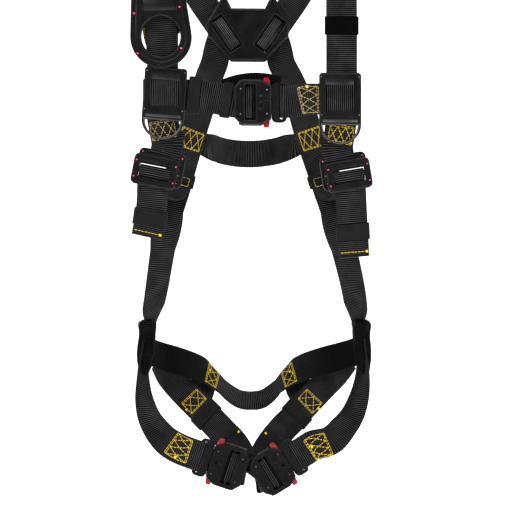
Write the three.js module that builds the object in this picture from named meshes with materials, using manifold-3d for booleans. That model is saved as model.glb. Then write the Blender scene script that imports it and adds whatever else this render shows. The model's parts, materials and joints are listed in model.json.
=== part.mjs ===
// Full-body safety harness: webbing straps, padded back plate, attachment rings, chest frames,
// torso adjusters and three quick-connect buckles. Millimetres, +Z up, the wearer faces -Y.
// The origin is midway between the two crests of the shoulder straps. "left" is the wearer's left, +X.
import * as THREE from "three";
import { mergeVertices } from "three/addons/utils/BufferGeometryUtils.js";
import Module from "manifold-3d";

const wasm = await Module();
wasm.setup();

// ---- Driving dimensions ----
const WEB_WIDTH = 45;
const WEB_THICKNESS = 2;
const LAYER_GAP = 0.4; // between webbing and what it lies on or wraps
const CHEST_Y = -129; // shoulder strap where it hangs down the chest
const CHEST_Z = -311; // middle of the chest strap at the chest frames
const PAD_X = -6; // the back pad sits a little to the wearer's right
const PAD_Y = 112.5;
const PAD_THICKNESS = 7;
const RING_THICKNESS = 6;
const FRAME_THICKNESS = 4;
const ADJUSTER_THICKNESS = 4;
const BUCKLE_HALF_DEPTH = 8; // front to back
const BUCKLE_WALL = 2.8;
const BUCKLE_BAR_RADIUS = 2;
const BUCKLE_BAR_X = -3;
const TONGUE_BAR_X = 46;
const KEEPER_WALL = 1.4;
const SHOULDER_LEAN = -8; // the shoulder straps hang this far to the wearer's right
const SHOULDER_HALF = 129.5; // from their lean to the middle of either strap

// ---- Colours and finishes ----
const finish = (color, roughness, metalness) =>
  new THREE.MeshStandardMaterial({ color, roughness, metalness });
const FINISH = {
  webbing: finish(0x1b1b1d, 0.8, 0),
  elastic: finish(0x202022, 0.9, 0),
  pad: finish(0x141415, 0.6, 0),
  coated: finish(0x17171a, 0.4, 0.6),
  steel: finish(0x5d5f63, 0.35, 0.9),
  red: finish(0xb3202a, 0.45, 0),
};

const harness = new THREE.Group();

function addMesh(name, geometry, material, parent = harness) {
  const mesh = new THREE.Mesh(geometry, material);
  mesh.name = name;
  parent.add(mesh);
  return mesh;
}

// ---- Joined shapes ----
function toSolid(geometry) {
  const bare = geometry.clone();
  bare.deleteAttribute("normal");
  bare.deleteAttribute("uv");
  const merged = mergeVertices(bare, 1e-4);
  return new wasm.Manifold(
    new wasm.Mesh({
      numProp: 3,
      vertProperties: new Float32Array(merged.attributes.position.array),
      triVerts: new Uint32Array(merged.index.array),
    }),
  );
}

function fromSolid(solid) {
  const { vertProperties, triVerts } = solid.getMesh();
  const geometry = new THREE.BufferGeometry();
  geometry.setAttribute("position", new THREE.BufferAttribute(new Float32Array(vertProperties), 3));
  geometry.setIndex(new THREE.BufferAttribute(new Uint32Array(triVerts), 1));
  geometry.computeVertexNormals();
  return geometry;
}

const union = (...geometries) => fromSolid(geometries.map(toSolid).reduce((a, b) => a.add(b)));

// ---- Plates: an outline in X and Z, extruded through Y ----
function arc(cx, cz, rx, rz, fromDegrees, toDegrees, steps) {
  return Array.from({ length: steps + 1 }, (_, i) => {
    const a = THREE.MathUtils.degToRad(fromDegrees + ((toDegrees - fromDegrees) * i) / steps);
    return [cx + rx * Math.cos(a), cz + rz * Math.sin(a)];
  });
}

function polygon(points, path = new THREE.Shape()) {
  path.setFromPoints(points.map(([x, z]) => new THREE.Vector2(x, z)));
  return path;
}

const CORNERS = [[1, -1, -90], [1, 1, 0], [-1, 1, 90], [-1, -1, 180]];
function roundedRect(halfWidth, halfHeight, radius, cx = 0, cz = 0, path = new THREE.Shape()) {
  const corner = ([i, j, start]) => {
    const [x, z] = [cx + i * (halfWidth - radius), cz + j * (halfHeight - radius)];
    return arc(x, z, radius, radius, start, start + 90, 3);
  };
  return polygon(CORNERS.flatMap(corner), path);
}

const hole = (halfWidth, halfHeight, radius, cx = 0, cz = 0) =>
  roundedRect(halfWidth, halfHeight, radius, cx, cz, new THREE.Path());

function plate(shape, yFront, yBack) {
  const geometry = new THREE.ExtrudeGeometry(shape, { depth: yBack - yFront, bevelEnabled: false });
  geometry.rotateX(Math.PI / 2); // outline up Z, extrusion towards -Y
  geometry.translate(0, yBack, 0);
  return geometry;
}

function box(x0, x1, y0, y1, z0, z1) {
  const geometry = new THREE.BoxGeometry(x1 - x0, y1 - y0, z1 - z0);
  geometry.translate((x0 + x1) / 2, (y0 + y1) / 2, (z0 + z1) / 2);
  return geometry;
}

// ---- Webbing ----
// A route is a list of [x, y, z, wx, wy, wz]: a point on the strap's middle and its width direction.
// sections(route) gives the strap's middle point, direction, width direction and face normal at t.
function sections(route) {
  const middle = new THREE.CatmullRomCurve3(route.map((p) => new THREE.Vector3(p[0], p[1], p[2])));
  const spans = route.length - 1;
  return (t) => {
    const i = Math.min(Math.floor(t * spans), spans - 1);
    const to = new THREE.Vector3(...route[i + 1].slice(3)).normalize();
    const side = new THREE.Vector3(...route[i].slice(3)).normalize().lerp(to, t * spans - i);
    const along = middle.getTangent(t);
    side.addScaledVector(along, -side.dot(along)).normalize();
    const normal = new THREE.Vector3().crossVectors(along, side);
    return { point: middle.getPoint(t), along, side, normal };
  };
}

const LOWER_FACE = 3; // a BoxGeometry's -Y side
function ribbon(route, { width = WEB_WIDTH, thickness = WEB_THICKNESS, perSpan = 2 } = {}) {
  const section = sections(route);
  const geometry = new THREE.BoxGeometry(width, thickness, 1, 1, 1, (route.length - 1) * perSpan);
  const position = geometry.attributes.position;
  for (let i = 0; i < position.count; i++) {
    const { point, side, normal } = section(THREE.MathUtils.clamp(position.getZ(i) + 0.5, 0, 1));
    point.addScaledVector(side, position.getX(i)).addScaledVector(normal, position.getY(i));
    position.setXYZ(i, point.x, point.y, point.z);
  }
  // Both broad faces are cut along the same diagonals, so that a twisted band keeps its thickness.
  const { start, count } = geometry.groups[LOWER_FACE];
  const corners = geometry.index.array;
  for (let i = start; i < start + count; i += 6) {
    const [a, b, d, , c] = corners.slice(i, i + 6);
    corners.set([a, b, c, a, c, d], i);
  }
  return geometry;
}

// A layer's place on a strap: at a numbered entry of its route, off its face and to one side.
function layerOn(route, entry, off, sideways = 0) {
  const { point, along, side, normal } = sections(route)(entry / (route.length - 1));
  point.addScaledVector(normal, off).addScaledVector(side, sideways);
  return { place: point.toArray(), along: along.toArray(), across: side.toArray() };
}

// Points on an arc about a bar: from and to are degrees from direction u towards direction v.
function wrap(centre, u, v, radius, from, to, count, side) {
  const points = [];
  for (let i = 0; i <= count; i++) {
    const a = THREE.MathUtils.degToRad(from + ((to - from) * i) / count);
    const [cu, cv] = [radius * Math.cos(a), radius * Math.sin(a)];
    points.push([0, 1, 2].map((k) => centre[k] + cu * u[k] + cv * v[k]).concat(side));
  }
  return points;
}

const X_AXIS = [1, 0, 0];
const Y_AXIS = [0, 1, 0];
const Z_AXIS = [0, 0, 1];
const wrapRadius = (half) => half + LAYER_GAP + WEB_THICKNESS / 2;

// A flat sleeve round one or more layers of webbing, centred on its own origin, open along Z.
function sleeve(length, layers, width = WEB_WIDTH) {
  const inner = [width / 2 + 0.8, (layers * (WEB_THICKNESS + LAYER_GAP) + 1) / 2];
  const outer = inner.map((half) => half + KEEPER_WALL);
  const shape = roundedRect(outer[0], outer[1], 2);
  const corners = CORNERS.map(([i, j]) => [i * inner[0], j * inner[1]]);
  shape.holes.push(polygon(corners, new THREE.Path()));
  const geometry = new THREE.ExtrudeGeometry(shape, { depth: length, bevelEnabled: false });
  geometry.translate(0, 0, -length / 2);
  return geometry;
}

// Turns a sleeve so that its opening follows the webbing at a place on its route.
function addKeeper(name, length, layers, place, along, across, width) {
  const mesh = addMesh(name, sleeve(length, layers, width), FINISH.elastic);
  const z = new THREE.Vector3(...along).normalize();
  const x = new THREE.Vector3(...across);
  x.addScaledVector(z, -x.dot(z)).normalize();
  const y = new THREE.Vector3().crossVectors(z, x);
  mesh.quaternion.setFromRotationMatrix(new THREE.Matrix4().makeBasis(x, y, z));
  mesh.position.set(...place);
  return mesh;
}

// ---- Quick-connect buckle, in its own frame: +X towards the tongue, -Y out, Z along its width ----
const BUCKLE = { back: -27, floorBack: -19.5, nose: 27, half: 32.5, shoulder: 13, noseHalf: 24 };

function buckleOutline(back, cornerCut) {
  const { nose, half, shoulder, noseHalf } = BUCKLE;
  const upper = [[nose, noseHalf], [shoulder, half], [back + cornerCut, half], [back, half - cornerCut]];
  const lower = upper.map(([x, z]) => [x, -z]).reverse();
  return polygon([...lower, ...upper]);
}

function buckleBase() {
  const inner = BUCKLE_HALF_DEPTH - BUCKLE_WALL;
  const rails = [-1, 1].map((s) => {
    const z = [28.6 * s, 32 * s].sort((a, b) => a - b);
    return box(-19, 13.5, -inner + 0.4, inner + 0.2, z[0], z[1]);
  });
  return union(plate(buckleOutline(BUCKLE.floorBack, 4), inner, BUCKLE_HALF_DEPTH), ...rails);
}

function buckleCover() {
  const shape = buckleOutline(BUCKLE.back, 11);
  shape.holes.push(hole(7.6, 26, 2, BUCKLE_BAR_X, 0));
  shape.holes.push(hole(1.8, 1.8, 1.7, 19, 0));
  return plate(shape, -BUCKLE_HALF_DEPTH, -BUCKLE_HALF_DEPTH + BUCKLE_WALL);
}

function buckleTongue() {
  const blade = [[12.5, -17.5], [34, -17.5], [34, 17.5], [12.5, 17.5]];
  const head = roundedRect(11, 28.5, 7, 38.6, 0);
  head.holes.push(hole(2.3, 24.2, 1.5, TONGUE_BAR_X - 5.2, 0));
  return union(plate(head, -2, 2), plate(polygon(blade), -1.6, 1.6));
}

// The release tab and its latch block: side is +1 or -1 along the buckle's width.
function buckleLatch(side) {
  const block = [[16.2, 21], [25, 21], [25, 30], [23.4, 35.4], [17, 35.4], [16.2, 34]];
  const outline = block.map(([x, z]) => [x, z * side]);
  return plate(polygon(side > 0 ? outline : outline.reverse()), -4.6, 4.7);
}

function buckleSpring() {
  const route = [[20.5, 4.2, -20.5], [20.5, 2.6, -10], [20.5, 3.9, 0], [20.5, 2.6, 10], [20.5, 4.2, 20.5]];
  return ribbon(route.map((p) => p.concat(X_AXIS)), { width: 4, thickness: 0.7 });
}

function frictionBar() {
  return new THREE.CylinderGeometry(BUCKLE_BAR_RADIUS, BUCKLE_BAR_RADIUS, 56, 12)
    .rotateX(Math.PI / 2)
    .translate(BUCKLE_BAR_X, 0, 0);
}

function addBuckle(prefix, place, turnDegrees) {
  const group = new THREE.Group();
  group.position.set(...place);
  group.rotation.y = THREE.MathUtils.degToRad(turnDegrees);
  harness.add(group);
  addMesh(prefix + "_base", buckleBase(), FINISH.coated, group);
  addMesh(prefix + "_cover", buckleCover(), FINISH.coated, group);
  addMesh(prefix + "_tongue", buckleTongue(), FINISH.coated, group);
  addMesh(prefix + "_latch_upper", buckleLatch(1), FINISH.red, group);
  addMesh(prefix + "_latch_lower", buckleLatch(-1), FINISH.red, group);
  addMesh(prefix + "_latch_spring", buckleSpring(), FINISH.steel, group);
  addMesh(prefix + "_friction_bar", frictionBar(), FINISH.steel, group);
  group.updateMatrixWorld(true);
  return group;
}

// The buckle group's own axes and points, as plain lists in the harness's frame.
function buckleFrame(group) {
  const point = (x, y, z) => new THREE.Vector3(x, y, z).applyMatrix4(group.matrixWorld).toArray();
  const axis = (list) => new THREE.Vector3(...list).applyQuaternion(group.quaternion).toArray();
  return { point, out: axis(X_AXIS), back: axis(Y_AXIS), across: axis(Z_AXIS) };
}

const CHEST_BUCKLE = addBuckle("chest_buckle", [-8.5, -141, -320], 0);
const LEG_BUCKLE = {
  left: addBuckle("leg_buckle_left", [23.5, -70, -861], -31),
  right: addBuckle("leg_buckle_right", [-42.5, -70, -853], 180 + 19),
};

// ---- Attachment rings: local frame, origin on the bar, hanging down -Z, -Y out ----
function ringPlate({ topHalf, radius, centreZ, holeHalf, slotBottom }) {
  const barHalf = 3.5;
  const lean = THREE.MathUtils.radToDeg(Math.atan2(radius - topHalf, -centreZ));
  const bow = arc(0, centreZ, radius, radius, 180 - lean, 360 + lean, 20);
  const shape = polygon([[-topHalf, barHalf], ...bow, [topHalf, barHalf]]);
  const [eyeHalfWidth, eyeHalfHeight] = holeHalf;
  const eye = arc(0, centreZ + 1, eyeHalfWidth, eyeHalfHeight, 0, 350, 27);
  shape.holes.push(polygon(eye, new THREE.Path()));
  const slotHalf = (-barHalf - slotBottom) / 2;
  shape.holes.push(hole(24.5, slotHalf, 3, 0, slotBottom + slotHalf));
  return plate(shape, -RING_THICKNESS / 2, RING_THICKNESS / 2);
}

// The webbing loop: up behind the ring, over its bar, back through its slot and down again.
function ringLoop(length, set) {
  const side = X_AXIS;
  const bend = -length / 2 - 8; // where the loop starts to lean back to its sewn end
  const behind = [
    [0, 8.2 + set, -length],
    [0, 8.2 + set / 2, bend],
    [0, 8.2, -24],
    [0, 8, -12],
    [0, 7, -3],
  ];
  const through = [
    [0, 1.2, -6.6],
    [0, 4, -8.4],
    [0, 5.5, -12],
    [0, 5.6, -24],
    [0, 5.6 + set / 2, bend],
  ];
  const route = [
    ...behind.map((p) => p.concat(side)),
    ...wrap([0, 0, 0], Y_AXIS, Z_AXIS, 6.1, 30, 250, 7, side),
    ...through.map((p) => p.concat(side)),
    [0, 5.6 + set, -length, ...side],
  ];
  return ribbon(route, { perSpan: 1 });
}

function addRing(name, place, turns, size, loopLength, set) {
  const group = new THREE.Group();
  group.position.set(...place);
  group.rotation.set(0, turns.roll, turns.yaw, "ZYX");
  harness.add(group);
  addMesh(name, ringPlate(size), FINISH.coated, group);
  addMesh(name + "_loop", ringLoop(loopLength, set), FINISH.webbing, group);
}

addRing(
  "shoulder_ring",
  [-143.5, CHEST_Y - 17, -164],
  { roll: THREE.MathUtils.degToRad(-4), yaw: 0 },
  { topHalf: 38, radius: 44, centreZ: -64, holeHalf: [27.8, 29], slotBottom: -27 },
  88,
  5.2,
);
addRing(
  "dorsal_ring",
  [PAD_X, PAD_Y + 22.5, -141],
  { roll: 0, yaw: Math.PI },
  { topHalf: 35, radius: 36, centreZ: -38, holeHalf: [25, 23], slotBottom: -11 },
  54,
  0,
);

// ---- Back pad ----
function backPad() {
  const half = [
    [28, -221.5],
    [66, -180],
    [69, -158],
    [46, -120],
    [43, -112],
    [38, -112],
    [34, -120],
    [27.5, -133.5],
  ];
  const mirrored = half.map(([x, z]) => [-x, z]).reverse();
  const shape = polygon([...half, ...mirrored].map(([x, z]) => [x + PAD_X, z]));
  const along = [0.57, -0.82];
  const across = [-0.82, -0.57];
  for (const s of [-1, 1]) {
    const corner = (a, b) => [
      PAD_X + s * (33.5 - a * along[0] - b * across[0]),
      -173 + a * along[1] + b * across[1],
    ];
    const outline = [corner(-30, -8), corner(30, -8), corner(30, 15), corner(-30, 15)];
    shape.holes.push(polygon(outline, new THREE.Path()));
  }
  return plate(shape, PAD_Y - PAD_THICKNESS / 2, PAD_Y + PAD_THICKNESS / 2);
}
addMesh("dorsal_pad", backPad(), FINISH.pad);

// ---- Chest frames: a window for the chest strap above a D-shaped eye ----
function chestFrame() {
  const bow = arc(0, -42, 30.5, 29, 180, 360, 14);
  const shape = polygon([...bow, [30.5, 30], [27.5, 33], [-27.5, 33], [-30.5, 30]]);
  shape.holes.push(hole(24, 30.4, 2));
  shape.holes.push(hole(25.5, 1.7, 1, 0, -36.8));
  shape.holes.push(polygon(arc(0, -43, 25.5, 24.8, 180, 360, 14), new THREE.Path()));
  return plate(shape, -FRAME_THICKNESS / 2, FRAME_THICKNESS / 2);
}

const CHEST_FRAME = {
  left: { x: 118.6, z: -308.5, turn: 0 },
  right: { x: -134, z: -302.5, turn: 4 },
};
for (const [side, { x, z, turn }] of Object.entries(CHEST_FRAME)) {
  const mesh = addMesh("chest_frame_" + side, chestFrame(), FINISH.coated);
  mesh.position.set(x, CHEST_Y - 7, z);
  mesh.rotation.y = THREE.MathUtils.degToRad(turn);
}

// ---- Torso adjusters: a base plate and a slider, each in the adjuster's own frame ----
const SLIDER_Z = -6.8;
const ADJUSTER = {
  left: { place: [126, CHEST_Y + 4, -417], turn: -9.5, sliderX: 4.6 },
  right: { place: [-141, CHEST_Y + 4, -413], turn: 11, sliderX: -6.3 },
};

function adjusterBase() {
  const shape = roundedRect(34, 25, 7);
  shape.holes.push(hole(27.5, 5.4, 2, 0, 13.1));
  shape.holes.push(hole(29.5, 10, 2, 0, -8));
  return plate(shape, -ADJUSTER_THICKNESS / 2, ADJUSTER_THICKNESS / 2);
}

function adjusterSlider() {
  const shape = roundedRect(32.5, 22.5, 7);
  shape.holes.push(hole(25.5, 11.8, 2));
  const crossbar = box(-26, 26, -7.2, -5.2, -4.5, 4.5);
  return union(plate(shape, -9.2, -5.2), crossbar);
}

for (const [side, { place, turn, sliderX }] of Object.entries(ADJUSTER)) {
  const group = new THREE.Group();
  group.position.set(...place);
  group.rotation.y = THREE.MathUtils.degToRad(turn);
  harness.add(group);
  addMesh("adjuster_base_" + side, adjusterBase(), FINISH.coated, group);
  const slider = addMesh("adjuster_slider_" + side, adjusterSlider(), FINISH.coated, group);
  slider.position.set(sliderX, 0, SLIDER_Z);
}

// A point of an adjuster's frame, with its width direction, as a route entry.
function adjusterPoint(side, x, y, z) {
  const { place, turn } = ADJUSTER[side];
  const a = THREE.MathUtils.degToRad(turn);
  const [c, s] = [Math.cos(a), Math.sin(a)];
  return [place[0] + x * c + z * s, place[1] + y, place[2] - x * s + z * c, c, 0, -s];
}

// ---- Straps that mirror, with a lean: each entry is [lean, half, y, z, width direction] ----
const SIDES = { left: 1, right: -1 };
const mirrored = (s, list) =>
  list.map(([lean, half, y, z, [wx, wy, wz]]) => [lean + s * half, y, z, wx, s * wy, s * wz]);

const OVER_SHOULDER = [
  [SHOULDER_LEAN, SHOULDER_HALF, CHEST_Y, -340, [1, 0, 0]],
  [SHOULDER_LEAN, SHOULDER_HALF, CHEST_Y, -270, [1, 0, 0]],
  [SHOULDER_LEAN, SHOULDER_HALF, CHEST_Y, -235, [1, 0, 0]],
  [SHOULDER_LEAN, SHOULDER_HALF, CHEST_Y, -200, [1, 0, 0]],
  [SHOULDER_LEAN, SHOULDER_HALF, CHEST_Y + 0.5, -165, [1, 0, 0]],
  [-6, 131, -121, -118, [1, 0, 0]],
  [-4, 133, -104, -75, [1, 0, 0]],
  [-2, 134, -74, -35, [1, 0, 0]],
  [0, 134, -38, -9, [1, 0, 0]],
  [0, 133, 0, 0, [1, 0, 0]],
  [-1, 129, 40, -12, [0.98, 0.15, -0.1]],
  [-3, 119, 76, -40, [0.95, 0.1, -0.25]],
  [-5, 103, 104, -76, [0.88, 0.05, -0.45]],
  [-6, 83, 118.5, -109, [0.83, 0, -0.56]],
  [-6, 69, 121.2, -130, [0.83, 0, -0.56]],
  [-6, 54, 121.6, -151.5, [0.83, 0, -0.56]],
  [-6, 40, 121.6, -172, [0.83, 0, -0.56]],
  [-6, 26, 121.6, -193, [0.83, 0, -0.56]],
];
const PAD_LAYER = { left: 0, right: 2.9 }; // the wearer's right strap crosses over the left one

for (const [side, s] of Object.entries(SIDES)) {
  const shift = (ADJUSTER[side].place[0] - (SHOULDER_LEAN + s * SHOULDER_HALF)) * -1;
  const loop = [
    adjusterPoint(side, shift, 3.6, 60),
    adjusterPoint(side, shift, 3.6, 40),
    adjusterPoint(side, shift, 3.6, 19.1),
    adjusterPoint(side, shift, 2.55, 16.5),
    adjusterPoint(side, shift, 0, 15.5),
    adjusterPoint(side, shift, -2.55, 16.5),
    adjusterPoint(side, shift, -3.6, 19.1),
    adjusterPoint(side, shift, -3.9, 34),
  ];
  const over = mirrored(s, OVER_SHOULDER).map((p, i) => {
    p[1] += i >= 13 ? PAD_LAYER[side] : 0;
    return p;
  });
  addMesh("shoulder_strap_" + side, ribbon([...loop, ...over]), FINISH.webbing);
}

// Down from the pad's slot, round under the arm to the front of the waist, then back to the hip.
const BACK_STRAP = [
  [-6, 14.5, 118.6, -159.5, [0.57, 0, 0.82]],
  [-6, 22, 118.6, -165, [0.57, 0, 0.82]],
  [-6, 28, 117.6, -169, [0.57, 0, 0.82]],
  [-6, 31, 114.6, -171.3, [0.57, 0, 0.82]],
  [-6, 34.5, 112.6, -173.6, [0.57, 0, 0.82]],
  [-6, 38, 114.2, -176.2, [0.6, 0, 0.8]],
  [-6, 41.5, 117.4, -179.2, [0.66, 0, 0.75]],
  [-6, 46, 118.7, -186, [0.78, 0, 0.62]],
  [-6, 51.5, 118.6, -205, [0.92, 0, 0.4]],
  [-6, 55, 117, -222, [0.94, 0, 0.35]],
  [-5, 64, 104, -245, [0.94, 0, 0.33]],
  [-3, 77, 72, -289, [0.94, -0.1, 0.3]],
  [-5, 88, 34, -334, [0.94, -0.15, 0.3]],
  [-6, 99, -4, -377, [0.95, -0.05, 0.28]],
  [-6, 109.5, -36, -418, [0.95, 0.04, 0.25]],
  [-6, 116, -52, -444, [0.95, 0.12, 0.22]],
  [-6, 123, -58, -471, [0.88, 0.35, 0.15]],
  [-3, 137, -50, -531, [0.78, -0.6, 0.1]],
  [0, 150, -32, -592, [0.7, -0.7, 0.1]],
  [0, 158.5, -9, -636, [0.6, -0.8, 0]],
  [0, 159.8, -5.6, -646, [0.5, -0.86, 0]],
  [0, 160, -5, -652, [0.5, -0.86, 0]],
];
for (const [side, s] of Object.entries(SIDES)) {
  addMesh("back_strap_" + side, ribbon(mirrored(s, BACK_STRAP)), FINISH.webbing);
}

// Sewn flat on both side straps, it runs round the small of the back.
const LOWER_BACK = [
  [-6, 56, 40, -369.5, [0.14, 0.44, 0.88]],
  [-6, 43, 66, -371.5, [0.05, 0.25, 0.96]],
  [-6, 20, 90, -373.5, [0, 0.18, 0.98]],
];
const endToEnd = (list, middle) => [
  ...list.map(([lean, half, y, z, [wx, wy, wz]]) => [lean - half, y, z, wx, wy, wz]),
  middle,
  ...list.map(([lean, half, y, z, [wx, wy, wz]]) => [lean + half, y, z, -wx, wy, wz]).reverse(),
];
// How far each entry of a sewn end lies outward, and behind the side strap.
const PATCH = [[18, 3.7], [3, 3.7], [-12, 3.8], [-20, 4.8], [-27, 6.6]];
const lowerBackPatch = (s) =>
  PATCH.map(([outward, behind]) => {
    const { place, along } = layerOn(mirrored(s, BACK_STRAP), 12.5, -behind, s * outward);
    return [...place, ...along.map((v) => -v)];
  });
addMesh(
  "lower_back_strap",
  ribbon([
    ...lowerBackPatch(-1),
    ...endToEnd(LOWER_BACK, [-6, 96, -374, 0, 0.16, 0.98]),
    ...lowerBackPatch(1).reverse(),
  ]),
  FINISH.webbing,
);

// ---- Chest strap ----
// The end of a strap that wraps a buckle's tongue bar: from its sewn end, round the bar and out again.
function tongueLoop({ point, across }, sewnEnd) {
  const [x, t] = [TONGUE_BAR_X, 3.4];
  const near = [[x + 4, t], [x - 2.5, t], [x - 4.7, 2.4]];
  const far = near.map(([lx, ly]) => [lx, -ly]).reverse();
  const bend = [...near, [x - 5.6, 0], ...far];
  return [...sewnEnd, ...bend].map(([lx, ly]) => [...point(lx, ly, 0), ...across]);
}

// The end of a strap that wraps a buckle's friction bar, from the free end to the standing part.
function frictionLoop({ point, out, back, across }, tail) {
  const centre = point(BUCKLE_BAR_X, 0, 0);
  const reach = wrapRadius(BUCKLE_BAR_RADIUS);
  const layer = (lx, ly) => [...point(lx, ly, 0), ...across];
  return [
    ...tail.map(([lx, ly]) => layer(lx, ly)),
    layer(BUCKLE_BAR_X - 12, -reach),
    ...wrap(centre, back, out, reach, 180, 0, 6, across),
    layer(BUCKLE_BAR_X - 12, reach),
    layer(BUCKLE.back - 3, reach),
  ];
}

// Round the outer edge of a shoulder strap and back behind it.
function roundShoulderStrap(s, z) {
  const edge = SHOULDER_LEAN + s * (SHOULDER_HALF + WEB_WIDTH / 2 + 1.5);
  const turn = wrap([edge, CHEST_Y, z], [0, -1, 0], [s, 0, 0], 3.3, 0, 180, 4, Z_AXIS);
  return [...turn, [edge - s * 44, CHEST_Y + 3.3, z, ...Z_AXIS]];
}

const chestBuckle = buckleFrame(CHEST_BUCKLE);
const chestTail = [[-88, 5.9], [-70, 4.6], [-50, 2.6], [-38, -0.6], [-30, -3.2]];
const buckleSide = frictionLoop(chestBuckle, chestTail).map((p) => {
  p[2] += THREE.MathUtils.clamp((p[0] + 28) * -0.2, 0, 12); // the strap climbs away from the buckle
  return p;
});
addMesh(
  "chest_strap_right",
  ribbon([
    ...buckleSide,
    [-52, -136, -315.2, ...Z_AXIS],
    [-70, -134, -311.6, ...Z_AXIS],
    [-88, -132.8, -309, ...Z_AXIS],
    [-108, -132.3, CHEST_Z + 3, ...Z_AXIS],
    ...roundShoulderStrap(-1, CHEST_Z + 3),
  ]),
  FINISH.webbing,
);
addMesh(
  "chest_strap_left",
  ribbon([
    ...tongueLoop(chestBuckle, [[94, 10.6], [80, 8.4], [64, 5.4]]).map((p) => {
      p[2] += THREE.MathUtils.mapLinear(THREE.MathUtils.clamp(p[0], 46, 72), 46, 72, 1.2, 6.4);
      return p;
    }),
    [56, -140.6, -316.8, ...Z_AXIS],
    [70, -136.6, -313.8, ...Z_AXIS],
    [82, -133.1, -313.2, ...Z_AXIS],
    [92, -132.4, -313, ...Z_AXIS],
    [104, -132.3, -313, ...Z_AXIS],
    ...roundShoulderStrap(1, -313),
  ]),
  FINISH.webbing,
);

// ---- Adjuster webbing: from the side strap, over the slider's crossbar and down as a free tail ----
const TAIL = {
  left: [[134.8, -128.1, -447], [136.8, -122.5, -473], [139.5, -115.6, -505], [142, -109.6, -539]],
  right: [[-152, -128, -443], [-153, -123, -463], [-156, -117.3, -485], [-161, -110.4, -510]],
};
const SEWN_ENTRIES = [13.85, 14.1, 14.35, 14.6]; // where on the side strap's route the webbing's end is sewn
const TAIL_ACROSS = { left: [0.97, 0, 0.24], right: [0.91, 0, -0.41] };
for (const [side, s] of Object.entries(SIDES)) {
  const at = (y, z) => adjusterPoint(side, ADJUSTER[side].sliderX, y, SLIDER_Z + z);
  const backStrap = mirrored(s, BACK_STRAP);
  const sewn = SEWN_ENTRIES.map((entry) => layerOn(backStrap, entry, WEB_THICKNESS + 1));
  const aside = (share) => THREE.MathUtils.lerp(-6 + s * 116, at(9, -17)[0], share);
  const route = [
    ...sewn.map(({ place, across }) => [...place, ...across]),
    [aside(0.1), -57.5, -443, 0.95, s * 0.14, s * 0.18],
    [aside(0.37), -68, -450.5, 0.95, s * 0.2, s * 0.12],
    [aside(0.71), -85, -454, 0.97, s * 0.1, s * 0.1],
    [aside(0.94), -102, -449, 0.98, 0, s * 0.15],
    at(9, -17),
    at(4, -9),
    at(-0.3, -3.2),
    at(-3.3, 1),
    at(-3.7, 3.6),
    at(-5, 6.1),
    at(-7.4, 6.1),
    at(-8.8, 3.6),
    at(-8.8, -3.2),
    at(-7.4, -7.2),
    at(-4.5, -9.6),
    at(-3.7, -13.5),
    ...TAIL[side].map((p) => p.concat(TAIL_ACROSS[side])),
  ];
  addMesh("adjuster_webbing_" + side, ribbon(route), FINISH.webbing);
  const [from, to] = [TAIL[side][1], TAIL[side][3]].map((p) => new THREE.Vector3(...p));
  const along = to.clone().sub(from).toArray();
  addKeeper("tail_keeper_" + side, 24, 1, TAIL[side][2], along, TAIL_ACROSS[side]);
  const label = layerOn(backStrap, 14.25, WEB_THICKNESS / 2 + 0.5);
  addKeeper("label_sleeve_" + side, 18, 3, label.place, label.along, label.across, WEB_WIDTH + 1);
  addKeeper("shoulder_keeper_" + side, 26, 1, [SHOULDER_LEAN + s * SHOULDER_HALF, CHEST_Y, -206], Z_AXIS, X_AXIS);
}
addKeeper("chest_keeper", 17, 2, [-92, -134, -308.6], [1, -0.03, -0.08], Z_AXIS, WEB_WIDTH + 4);
const keeperByBuckle = { place: [-45, -140.2, -316.6], along: [1, -0.14, -0.18] };
addKeeper(
  "chest_keeper_buckle", 13, 4, keeperByBuckle.place, keeperByBuckle.along, Z_AXIS, WEB_WIDTH + 1,
);

// ---- Seat and leg straps ----
const SEAT = [
  [0, 160.5, 0, -688, [0.3, 0.17, -0.94]],
  [-2, 137, 30, -699, [0.3, 0.1, -0.95]],
  [-3, 106, 55, -710, [0.32, 0, -0.94]],
  [-4, 76, 75, -724, [0.4, 0, -0.9]],
  [-4, 55, 88, -742, [0.5, -0.15, -0.8]],
  [-3, 36, 94, -761, [0.35, -0.5, -0.7]],
  [-2, 18, 96, -773, [0.12, -0.75, -0.6]],
];
addMesh("seat_strap", ribbon(endToEnd(SEAT, [-2, 97, -775.5, 0, -0.8, -0.55])), FINISH.webbing);

const INNER_LEG = [
  [0, 149.6, 23.8, -700, [0.3, 0.35, 0.88]],
  [-2, 134, 47, -726, [0.55, 0.3, 0.76]],
  [-3, 113, 66, -752, [0.66, 0.25, 0.7]],
  [-3, 91, 61, -774, [0.66, 0.1, 0.72]],
  [-3, 78.3, 48, -785, [0.66, 0.1, 0.72]],
  [-3, 65.7, 34, -796, [0.66, 0.1, 0.72]],
  [-4, 53, 19, -806.5, [0.66, 0.1, 0.72]],
  [-5, 35, -6, -818.5, [0.6, 0, 0.8]],
];
const OUTER_LEG = [
  [-1, 166.5, -3, -672, [0.15, 0.98, 0.05]],
  [-2, 168.5, -9, -700, [0.2, 0.95, 0.1]],
  [-3, 167.5, -20, -728, [0.3, 0.92, 0.15]],
  [-5, 163, -32, -756, [0.4, 0.85, 0.3]],
  [-7, 154, -43, -781, [0.45, 0.75, 0.45]],
  [-9, 140, -51, -801, [0.42, 0.6, 0.66]],
  [-10, 123.5, -57, -817.5, [0.4, 0.4, 0.8]],
];
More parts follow.
